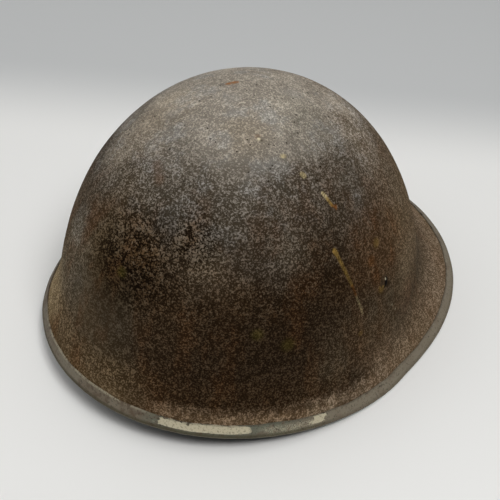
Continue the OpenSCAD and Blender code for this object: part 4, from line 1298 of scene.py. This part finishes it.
class HELMET_OT_crown_pad(bpy.types.Operator):
    """The padded cloth cross under the crown"""

    bl_idname = "helmet.crown_pad"
    bl_label = "Crown pad"

    def execute(self, context):
        s, look = context.scene.helmet_sizes, finishes(context)
        obj = add_object("crown_cushion", merged_copy("crown_pad", "crown_cushion"), [look.pad])
        modify(obj, "skin", "REMESH", mode="VOXEL", voxel_size=3.2 * MM)
        settle(obj)
        slim, swell = 1.7 * MM, 2.0 * MM
        at, normals = vertex_arrays(obj.data)
        at = at - normals * slim
        obj.data.vertices.foreach_set("co", at.ravel())
        puff(obj, at, pressure=4.0, frames=16, most=swell)
        modify(obj, "smooth", "SMOOTH", factor=0.5, iterations=4)
        modify(obj, "finer", "SUBSURF", levels=1, render_levels=1)
        settle(obj)
        sink_seams(obj.data)
        obj.data.materials.clear()
        obj.data.materials.append(look.pad)
        soft_edges(obj.data, 180)
        rows = pad_seams(obj.data)
        seam = stitched("cushion_stitches", rows, look.thread, s.stitch_pitch)
        belongs(seam, "helmet", "pad_cloth")
        belongs(obj, "helmet", "pad_cloth", "crown_pad")
        return {"FINISHED"}


def vertex_arrays(mesh):
    count = len(mesh.vertices)
    at, normals = np.empty(count * 3), np.empty(count * 3)
    mesh.vertices.foreach_get("co", at)
    mesh.vertices.foreach_get("normal", normals)
    return at.reshape(-1, 3), normals.reshape(-1, 3)


def puff(obj, start, pressure, frames, most):
    """Swells a closed cloth skin from inside, by no more than a set distance."""
    scene = bpy.context.scene
    settings = obj.modifiers.new("puff", "CLOTH").settings
    assign(settings, {
        "quality": 5, "mass": 0.25, "tension_stiffness": 12, "compression_stiffness": 12,
        "use_pressure": True, "uniform_pressure_force": pressure,
    })
    settings.effector_weights.gravity = 0
    for number in range(1, frames + 1):
        scene.frame_set(number)
    settle(obj)
    scene.frame_set(1)
    swollen, _ = vertex_arrays(obj.data)
    shift = swollen - start
    far = np.linalg.norm(shift, axis=1, keepdims=True)
    shift *= np.minimum(1, most / np.maximum(far, 1e-9))
    obj.data.vertices.foreach_set("co", (start + shift).ravel())
    obj.data.update()


PAD_SIDE, PAD_LENGTH, PAD_HALF, PAD_END = 55 * MM, 65 * MM, 22 * MM, 14.7 * MM
SEAM_INSET, SEAM_DEPTH, SEAM_REACH = 7 * MM, 1.5 * MM, 3.2 * MM


def seam_outline():
    """The cross-shaped seam seen from below, which keeps its distance from the pad's edge."""
    half, corner = PAD_HALF - SEAM_INSET, PAD_END - SEAM_INSET
    ring = []
    for k, reach in enumerate((PAD_SIDE - SEAM_INSET, PAD_LENGTH - SEAM_INSET) * 2):
        arm = [np.array([half, -half])]
        for start, sign in ((-QUARTER_TURN, -1), (0, 1)):
            centre = (reach - corner, sign * (half - corner))
            arm += list(arc(centre, corner, corner, start, start + QUARTER_TURN, 6))
        turn = k * QUARTER_TURN
        spin = np.array([[math.cos(turn), math.sin(turn)], [-math.sin(turn), math.cos(turn)]])
        ring += [p @ spin for p in arm]
    ring.append(ring[0])
    line, _ = even(np.array(ring), 1.5 * MM)
    return line + [0, CROWN_Y]


def pad_seams(mesh):
    """The seam line laid on the pad's underside."""
    tree = BVHTree.FromPolygons([v.co for v in mesh.vertices], [p.vertices for p in mesh.polygons])
    row = []
    for x, y in seam_outline():
        hit, normal, _, _ = tree.ray_cast(Vector((x, y, 0.06)), Vector((0, 0, 1)))
        if hit:
            row.append(hit + normal * 0.1 * MM)
    return [row]


def sink_seams(mesh):
    """Presses a groove into the pad along its seam."""
    at, normals = vertex_arrays(mesh)
    line = seam_outline()
    facing = normals[:, 2] < -0.2
    for i in np.nonzero(facing)[0]:
        gap = np.min(np.hypot(line[:, 0] - at[i, 0], line[:, 1] - at[i, 1]))
        if gap < SEAM_REACH:
            at[i] -= normals[i] * SEAM_DEPTH * (0.5 + 0.5 * math.cos(HALF_TURN * gap / SEAM_REACH))
    mesh.vertices.foreach_set("co", at.ravel())
    mesh.update()


class HELMET_OT_bands(bpy.types.Operator):
    """The fibre headband and the leather sweatband folded round it"""

    bl_idname = "helmet.bands"
    bl_label = "Headband and sweatband"

    def execute(self, context):
        s, look = context.scene.helmet_sizes, finishes(context)
        board = upright((BAND_IN + BAND_OUT) / 2, BAND_BOTTOM + BAND_EDGE, BAND_TOP - BAND_EDGE, 12)
        obj = oval_band("fibre_headband", s, thick_line(board, s.band_thick), [look.board])
        belongs(obj, "helmet", "band_fibre", "headband")

        inner, outer = s.leather / 2, BAND_OUT + 0.4 * MM + s.leather / 2
        radius = (outer - inner) / 2
        low = SWEAT_FOLD + radius
        line = np.concatenate([
            upright(inner, SWEAT_TOP - BAND_EDGE, low, 16),
            arc(((inner + outer) / 2, low), radius, radius, HALF_TURN, FULL_TURN, 10)[1:],
            upright(outer, low, LIP_TOP - BAND_EDGE, 4)[1:],
        ])
        section = thick_line(line, s.leather)

        def sway(angle, points):
            bent = points.copy()
            up_share = np.clip((points[:, 1] - low) / (SWEAT_TOP - low), 0, 1)
            on_head = points[:, 0] < BAND_IN
            soft = 0.35 * math.sin(angle * 7 + 1) + 0.3 * math.sin(angle * 13 + 2)
            soft += 0.2 * math.sin(angle * 29)
            bent[:, 0] += on_head * up_share * 0.5 * MM * (soft - 0.8)
            bent[:, 1] += on_head * up_share * 0.6 * MM * (math.sin(angle * 5) - 1) / 2
            return bent

        leather = oval_band("leather_sweatband", s, section, [look.leather], sway)
        belongs(leather, "helmet", "sweat_leather", "sweatband")
        t = np.linspace(0, FULL_TURN, 400)
        rows = []
        for out in (outer + s.leather / 2 + THREAD_LIFT, -THREAD_LIFT):
            rows.append(np.column_stack([oval_points(s, t, out), np.full(len(t), LIP_TOP - SEAM_DROP)]))
        seam = stitched("sweatband_stitches", rows, look.thread, s.stitch_pitch)
        belongs(seam, "helmet", "sweat_leather")
        return {"FINISHED"}


def oval_normal(s, t, out):
    n = np.array([(s.head_length + out) * math.sin(t), -(s.head_width + out) * math.cos(t), 0.0])
    return n / np.linalg.norm(n)


def rivet_profile(seat):
    """(radius, height) of a tubular rivet through the band, for a seat in millimetres.

    Its head is domed outside and stands on the seat, and its end is rolled over inside.
    """
    head, shank, under = 3.0, 1.5, -1.7
    dome = [(head * math.sin(a), seat + 0.15 + 0.65 * math.cos(a)) for a in np.linspace(0, QUARTER_TURN, 7)]
    rolled = [
        (head, 0), (head, -0.4), (2.6, -0.8), (1.9, -0.8), (1.2, -0.5), (1.0, 0), (0.9, 0.6), (0.0, 0.6),
    ]
    points = [*dome, (head, seat), (shank, seat), (shank, under), *((r, under + z) for r, z in rolled)]
    return [(r * MM, z * MM) for r, z in points]


class HELMET_OT_liner_rivets(bpy.types.Operator):
    """The rivets of the crown straps and of the buffers"""

    bl_idname = "helmet.liner_rivets"
    bl_label = "Liner rivets"

    def execute(self, context):
        s, look = context.scene.helmet_sizes, finishes(context)
        arms = []
        for z in ARM_RIVETS:
            for sign in (-1, 1):
                arms.append(((sign * (s.head_width + BAND_OUT), CROWN_Y, z), (sign, 0, 0)))
                arms.append(((0, LINER_Y + sign * (s.head_length + BAND_OUT), z), (0, sign, 0)))
        obj = riveted("strap_rivets", arms, rivet_profile(STRAP_SEAT), look.brass)
        belongs(obj, "helmet", "liner_brass", "crown_strap_rivets")
        ring = []
        for degrees in BUFFER_ANGLES:
            t = math.radians(degrees)
            x, y = oval_points(s, t, BAND_OUT)
            ring.append(((x, y, BUFFER_Z), tuple(oval_normal(s, t, BAND_OUT))))
        obj = riveted("rubber_rivets", ring, rivet_profile(BUFFER_SEAT), look.brass)
        belongs(obj, "helmet", "liner_brass", "buffer_rivets")
        return {"FINISHED"}


class HELMET_OT_buffers(bpy.types.Operator):
    """The rubber buffers between the headband and the bowl"""

    bl_idname = "helmet.buffers"
    bl_label = "Rubber buffers"

    def execute(self, context):
        look = finishes(context)
        for node in sorted(frame["nodes"]):
            if node.startswith("buffer_") and node != "buffer_rivets":
                obj = softened(node, node.replace("buffer", "rubber"), look.rubber, 0.5 * MM, 30)
                belongs(obj, "helmet", "buffer_rubber", node)
        return {"FINISHED"}


BAR_Z = HINGE.z - 17 * MM
WRAP_R = 2.6 * MM
STACK = 0.85 * MM
WRAP_DROP, SEWN = 8 * MM, 12 * MM
STITCH_END, STITCH_SIDE = 1.5 * MM, 2.5 * MM
LIE_Z, TAIL_Z, SLIDE_Z = 2.0 * MM, 4.4 * MM, 7.8 * MM
SLIDE_WRAP = 2.3 * MM
MIDDLE_BAR, SEWN_BAR = -29 * MM, -36 * MM
BEND_R, RISE_R, TURN_R = 17 * MM, 3 * MM, 1.6 * MM
TAIL_END = 18 * MM
SEWN_SLOPE = 14 * MM


def touch(point, centre, r, side):
    """The angle at which a line from the point touches the circle, on one side or the other."""
    dx, dy = point[0] - centre[0], point[1] - centre[1]
    return math.atan2(dy, dx) + side * math.acos(r / math.hypot(dx, dy))


def hanging_line():
    """From the sewn end up, over the loop's lower bar, down again and round the bend."""
    bar = (HINGE.x, BAR_Z)
    out_low, in_low = (HINGE.x + STACK, BAR_Z - WRAP_DROP), (HINGE.x - STACK, BAR_Z - WRAP_DROP)
    first, last = touch(out_low, bar, WRAP_R, 1), touch(in_low, bar, WRAP_R, -1)
    return np.concatenate([
        [[out_low[0], out_low[1] - SEWN], out_low],
        arc(bar, WRAP_R, WRAP_R, first, last + FULL_TURN, 24),
        [in_low],
        arc((HINGE.x - STACK - BEND_R, LIE_Z + BEND_R), BEND_R, BEND_R, 0, -QUARTER_TURN, 20),
    ])


def box_rows(x0, x1, half, place):
    """Stitch rows round a box and across it, each point placed by a function."""
    corners = [(x0, -half), (x1, -half), (x1, half), (x0, half), (x0, -half), (x1, half)]
    line, _ = even(np.array(corners), 1.0 * MM)
    return [[place(a, w) for a, w in line]]


class HELMET_OT_chin_strap(bpy.types.Operator):
    """The two webbing straps with their stitches, and their keeper and tip"""

    bl_idname = "helmet.chin_strap"
    bl_label = "Chin strap"

    def execute(self, context):
        s, look = context.scene.helmet_sizes, finishes(context)
        origin = (0, HINGE.y, 0)
        rise = (MIDDLE_BAR - SLIDE_WRAP + RISE_R, LIE_Z + RISE_R)
        turn = (MIDDLE_BAR + SLIDE_WRAP + TURN_R, TAIL_Z + TURN_R)
        long_line = np.concatenate([
            hanging_line(),
            arc(rise, RISE_R, RISE_R, -QUARTER_TURN, -HALF_TURN, 8),
            arc((MIDDLE_BAR, SLIDE_Z), SLIDE_WRAP, SLIDE_WRAP, HALF_TURN, 0, 16),
            arc(turn, TURN_R, TURN_R, HALF_TURN, 1.5 * HALF_TURN, 8),
            [[TAIL_END, TAIL_Z]],
        ])
        sewn_bar = (SEWN_BAR, SLIDE_Z)
        low = (SEWN_BAR - SEWN_SLOPE, LIE_Z)
        high = (SEWN_BAR - SEWN_SLOPE, LIE_Z + 2 * STACK)
        short_line = np.concatenate([
            hanging_line() * [-1, 1],
            [low],
            arc(sewn_bar, SLIDE_WRAP, SLIDE_WRAP, touch(low, sewn_bar, SLIDE_WRAP, 1),
                touch(high, sewn_bar, SLIDE_WRAP, -1) + FULL_TURN, 20),
            [high, (high[0] - SEWN, high[1])],
        ])
        gap = STACK + s.web_thick / 2 + THREAD_LIFT
        top, bottom = BAR_Z - WRAP_DROP, BAR_Z - WRAP_DROP - SEWN + STITCH_END
        half = s.web_width / 2 - STITCH_SIDE
        for side, name, node, line, body, sign in (
            ("left", "chin_strap_long", "long_chin_strap", long_line, "left_loop", 1),
            ("right", "chin_strap_short", "short_chin_strap", short_line, "right_loop", -1),
        ):
            rows = []
            for face in (-1, 1):
                x = sign * (HINGE.x + face * gap)
                rows += box_rows(bottom, top, half, lambda a, w, x=x: (x, HINGE.y + w, a))
            if side == "right":
                rows += box_rows(
                    high[0] - SEWN + STITCH_END, high[0], half,
                    lambda a, w: (a, HINGE.y + w, high[1] + s.web_thick / 2 + THREAD_LIFT),
                )
            thread = stitched(f"{name}_stitches", rows, look.thread, 2.6 * MM, 0.4 * MM)
            web = strap(name, line, origin, (1, 0, 0), (0, -1, 0), s.web_width, s.web_thick, [look.webbing],
                        seed=11, spacing=1.2 * MM)
            for piece in (web, thread):
                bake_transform(piece)
            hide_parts(node)
        for node, edge in (("strap_keeper", 0.2 * MM), ("strap_tip", 0.15 * MM)):
            belongs(softened(node, node + "_metal", look.brass, edge), "helmet", "liner_brass", node)
        return {"FINISHED"}


class HELMET_OT_stage(bpy.types.Operator):
    """A pale floor, a pale world and soft light from above"""

    bl_idname = "helmet.stage"
    bl_label = "Stage"

    def execute(self, context):
        scene = context.scene
        g = Finish("pale_floor", specular=0.25)
        across, along, _ = g.parts(g.place())
        away_y, away_x = 0.82, -0.57
        depth = along * away_y + across * away_x
        tone = g.mix(g.noise(g.place(), 3, 3, 0.5), (0.86, 0.865, 0.86), (0.90, 0.905, 0.90))
        # Darker towards the front and paler near the helmet: painted fall-off of the light.
        tone = g.mix(depth.step(-0.16, -0.26), tone, (0.79, 0.79, 0.78))
        tone = g.mix(depth.step(0.14, 0.26), tone, (0.575, 0.59, 0.60))
        half = 3.0
        corners = [(-half, -half, 0), (half, -half, 0), (half, half, 0), (-half, half, 0)]
        add_object("floor", mesh_from("floor", corners, [(0, 1, 2, 3)]), [g.done(tone, 0.5)])
        world = bpy.data.worlds.new("studio")
        world.use_nodes = True
        g = Graph(world.node_tree)
        rays = g.make("ShaderNodeLightPath").outputs
        seen = 0.0
        for kind in ("Camera", "Glossy", "Transmission"):
            seen = g.maximum(seen, Field(g, rays[f"Is {kind} Ray"]))
        glow, backdrop = 0.06, 0.68
        g.fill(g.tree.nodes["Background"], {
            "Color": (1.0, 1.0, 1.0, 1.0), "Strength": seen * (backdrop - glow) + glow,
        })
        scene.world = world
        aim = Vector((0, 0, 0.05))
        for name, place, size, energy in (
            ("key_panel", (0.64, -0.30, 1.37), 0.55, 10.1),
            ("sky_panel", (-0.15, 0.10, 1.60), 3.0, 20.0),
            ("front_panel", (-0.62, -0.78, 1.15), 0.9, 2.4),
        ):
            data = bpy.data.lights.new(name, "AREA")
            data.size, data.energy, data.color = size, energy, (1.0, 0.99, 0.97)
            lamp = bpy.data.objects.new(name, data)
            lamp.location = place
            lamp.rotation_euler = (aim - Vector(place)).to_track_quat("-Z", "Y").to_euler()
            scene.collection.objects.link(lamp)
        scene.view_settings.view_transform = "Standard"
        return {"FINISHED"}


STEPS = (
    HELMET_OT_camera, HELMET_OT_shell, HELMET_OT_strip, HELMET_OT_fittings, HELMET_OT_crown_straps,
    HELMET_OT_crown_pad, HELMET_OT_bands, HELMET_OT_liner_rivets, HELMET_OT_buffers, HELMET_OT_chin_strap,
    HELMET_OT_stage,
)


class HELMET_PT_panel(bpy.types.Panel):
    """Lists the helmet's sizes, colours and steps"""

    bl_idname = "HELMET_PT_panel"
    bl_label = "Steel combat helmet"
    bl_space_type = "VIEW_3D"
    bl_region_type = "UI"
    bl_category = "Helmet"

    def draw(self, context):
        layout = self.layout
        for group in (context.scene.helmet_sizes, context.scene.helmet_colours):
            box = layout.box()
            for key in group.__annotations__:
                box.prop(group, key)
        for step in STEPS:
            layout.operator(step.bl_idname)


CLASSES = (HelmetSizes, HelmetColours, *STEPS, HELMET_PT_panel)


def register():
    for item in CLASSES:
        bpy.utils.register_class(item)
    bpy.types.Scene.helmet_sizes = PointerProperty(type=HelmetSizes)
    bpy.types.Scene.helmet_colours = PointerProperty(type=HelmetColours)


def unregister():
    del bpy.types.Scene.helmet_colours
    del bpy.types.Scene.helmet_sizes
    for item in reversed(CLASSES):
        bpy.utils.unregister_class(item)


def main():
    register()
    for step in STEPS:
        group, name = step.bl_idname.split(".")
        getattr(getattr(bpy.ops, group), name)()


if __name__ == "__main__":
    main()
